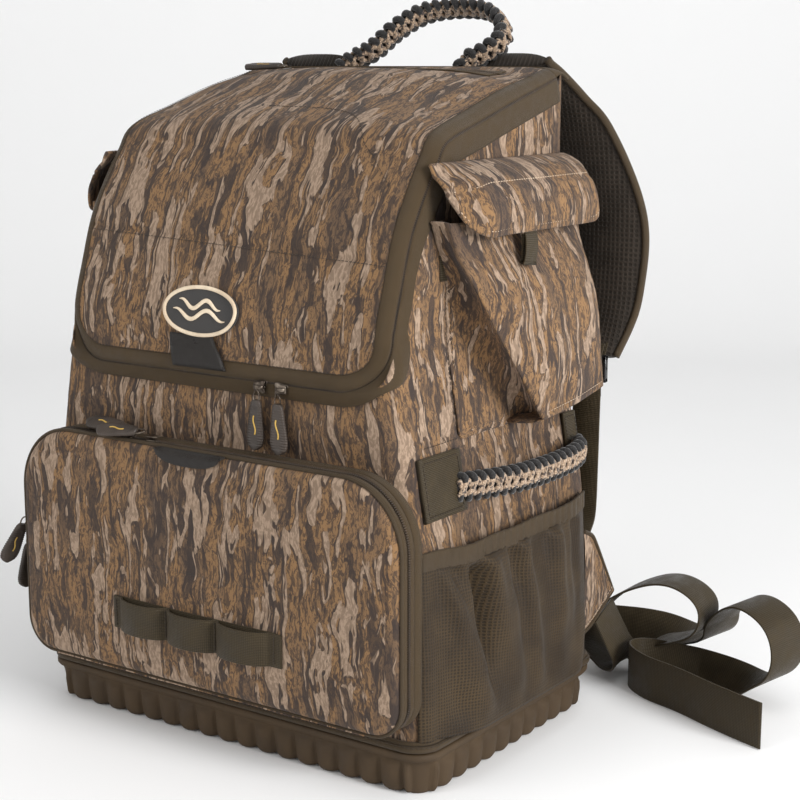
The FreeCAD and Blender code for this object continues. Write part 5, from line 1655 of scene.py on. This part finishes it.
def make_zip_hardware():
    """A slider and a pull for each zipper runner, and the tape of the pocket's side zipper."""
    for name, (centre, along, across, start, hang, wide) in ZIPS.items():
        make_slider(f"{name}_slider_metal", centre, along, across, f"{name}_runner", (f"{name}_slider",))
        make_pull(f"{name}_pull_drop", start, hang, wide, f"{name}_tag", (f"{name}_pull",))
    heap = Heap()
    path = np.array([(-180.9, -128.5, z) for z in np.linspace(92, 178, 30)])
    heap.put(*sweep(path, (0, 1, 0), slab(13, 1.6)))
    heap.piece("side_zip_band", "root", "trim_fabric", stands_for=("side_zipper_tape",), slot="trim_fabric")
    zip_coil("side_zip_teeth", path + (-1.4, -0.5, 0), (-1, 0, 0), "root", width=3.4)


# ---------------------------------------------------------------- waist buckle and strap buckles
def rounded_box(low, high, bevel=1.2):
    """A box with its edges rounded over, as points and faces."""
    low, high = np.array(low, float), np.array(high, float)
    size = high - low
    centre = (low + high) / 2
    rings = []
    for z, draw in ((-0.5, 1.0), (-0.5, 0.45), (-0.5, 0.0), (0.5, 0.0), (0.5, 0.45), (0.5, 1.0)):
        inset = bevel * draw ** 1.6
        level = z * size[2] + bevel * (1 - draw) * (1 if z < 0 else -1)
        ring = slab(size[0] - 2 * inset, size[1] - 2 * inset, bevel, 4)
        rings.append(np.column_stack((ring, np.full(len(ring), level))))
    count = len(rings[0])
    faces = grid_faces(6, count, round_columns=True)
    faces += [tuple(range(count))[::-1], tuple(5 * count + k for k in range(count))]
    return np.vstack(rings) + centre, faces


def make_buckle():
    """Side-release buckle lying on the floor, in the places its plain parts hold."""
    socket = Heap()
    for low, high in (((184, 201, 12.6), (216, 239, 16)), ((184, 201, 3), (216, 239, 6.2)),
                      ((184, 201, 3), (190, 239, 16)),
                      ((190, 201, 3), (197, 204, 16)), ((190, 236, 3), (197, 239, 16))):
        socket.put(*rounded_box(low, high, 1.1))
    for k in range(4):
        socket.put(*rounded_box((193 + 4.2 * k, 209, 15.6), (195.2 + 4.2 * k, 231, 16.6), 0.4))
    socket.piece("buckle_socket_shell", "root", "black_plastic", stands_for=("buckle_socket",),
                 slot="black_plastic")
    plug = Heap()
    for low, high in (((222, 201, 4), (225, 239, 15)), ((232, 201, 4), (235, 239, 15)),
                      ((222, 201, 4), (235, 204.4, 15)),
                      ((222, 235.6, 4), (235, 239, 15)), ((198, 214, 7), (223, 226, 12))):
        plug.put(*rounded_box(low, high, 1.0))
    plug.piece("buckle_plug_head", "root", "black_plastic", stands_for=("buckle_plug",), slot="black_plastic")
    for word, y0, y1, lean in (("front", 199.2, 203, 1), ("rear", 237, 240.8, -1)):
        arm = Heap()
        line = curved(((222, 220 - 14 * lean, 9.5), (214, 220 - 16.5 * lean, 9.5), (207, (y0 + y1) / 2, 9.5),
                       (201, (y0 + y1) / 2, 9.5), (197.5, (y0 + y1) / 2 + 2 * lean, 9.5)), 1.0)
        arm.put(*sweep(line, (0, 0, 1), slab(6.0, 3.4, 1.0, 4)))
        arm.piece(f"buckle_arm_{word}_spring", f"arm_{word}", "black_plastic",
                  stands_for=(f"buckle_arm_{word}",), slot="black_plastic")


def make_ladder_locks():
    """Three-bar adjusters at the foot of each shoulder strap."""
    for side, word in ((1, "right"), (-1, "left")):
        heap = Heap()
        x0, x1 = sorted((side * 144, side * 175))
        for z0, z1, y0, y1 in ((255, 259.2, 146, 150.5), (264.8, 268.2, 146.4, 149.8),
                               (272.8, 277, 146, 150.5)):
            heap.put(*rounded_box((x0, y0, z0), (x1, y1, z1), 0.9))
        for edge in ((x0, x0 + 3.2), (x1 - 3.2, x1)):
            heap.put(*rounded_box((edge[0], 146, 255), (edge[1], 150.4, 277), 0.9))
        heap.piece(f"ladder_lock_bars_{word}", f"lock_{word}", "black_plastic",
                   stands_for=(f"ladder_lock_{word}",), slot="black_plastic")


# ---------------------------------------------------------------- floor and light
def stage_material(name, colour):
    """Plain matt paper."""
    r = Recipe(name)
    grain = r.noise(r.solid(), 8.0, 2.0)
    tone = r.mix(grain, colour, tuple(min(c * 1.01, 1) for c in colour))
    return r.surface(tone, 0.9, grain, 0.0, 0.0001, Specular_IOR_Level=0.05)


def make_stage():
    """Pale floor that curves up into the backdrop."""
    rows = [(-3.0, 0.0), (1.6, 0.0)]
    rows += [(1.6 + 0.8 * math.sin(t), 0.8 * (1 - math.cos(t))) for t in np.linspace(0, math.pi / 2, 16)[1:]]
    rows += [(2.4, 4.0)]
    turn = math.radians(CAMERA_TURN)
    spots = []
    for y, z in rows:
        for x in (-4.5, 4.5):
            spots.append((x * math.cos(turn) - y * math.sin(turn), x * math.sin(turn) + y * math.cos(turn),
                          z))
    faces = grid_faces(len(rows), 2)
    mesh = bpy.data.meshes.new("floor")
    mesh.from_pydata(spots, [], faces)
    mesh.polygons.foreach_set("use_smooth", [True] * len(mesh.polygons))
    floor = bpy.data.objects.new("floor", mesh)
    bpy.context.scene.collection.objects.link(floor)
    mesh.materials.append(stage_material("floor_paper", (0.93, 0.93, 0.93)))


LAMP_AIM = (0, 0, 0.25)


def area_light(name, spot, size, power):
    """A soft round lamp turned towards the pack."""
    data = bpy.data.lights.new(name, "AREA")
    data.shape = "DISK"
    data.size = size
    data.energy = power
    light = bpy.data.objects.new(name, data)
    bpy.context.scene.collection.objects.link(light)
    light.location = spot
    light.rotation_euler = (Vector(LAMP_AIM) - Vector(spot)).to_track_quat("-Z", "Y").to_euler()


def make_lights():
    """A pale studio with its strongest lamp to the right of the pack."""
    world = bpy.data.worlds.new("studio")
    bpy.context.scene.world = world
    world.use_nodes = True
    world.node_tree.nodes["Background"].inputs["Color"].default_value = (1, 1, 1, 1)
    world.node_tree.nodes["Background"].inputs["Strength"].default_value = 0.54
    area_light("key", (2.2, -0.3, 0.9), 1.0, 56)
    area_light("fill", (-0.9, -2.2, 0.9), 1.6, 18)
    area_light("top", (0.3, -0.3, 2.4), 1.4, 6)


# ---------------------------------------------------------------- everything in order
def make_inner_parts():
    """The stiff sheets inside keep their own shape and get a board finish."""
    for node in ("floor_board", "frame_sheet"):
        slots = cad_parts[node].data.materials
        slots.clear()
        slots.append(MATERIALS["board"])


make_camera()
web_ribbon("waist_web_right", RIGHT_WEB_ROUTE, RIGHT_WEB_LAY, ("waist_webbing_right",))
web_ribbon("waist_web_left", LEFT_WEB_ROUTE, LEFT_WEB_LAY, ("waist_webbing_left",))
make_tub()
make_body_cloth()
make_body_seams()
make_lid_cloth()
make_lid_zipper()
make_badge()
make_lid_trim()
make_yoke()
make_front_pocket()
make_pocket_hinge()
make_daisy_chain()
make_pouches()
make_flaps()
make_mesh_pockets()
make_handles()
make_shoulder_straps()
make_wings()
make_back_pads()
make_zip_hardware()
make_buckle()
make_ladder_locks()
make_inner_parts()
make_stage()
make_lights()
bpy.context.scene.view_settings.view_transform = "Standard"
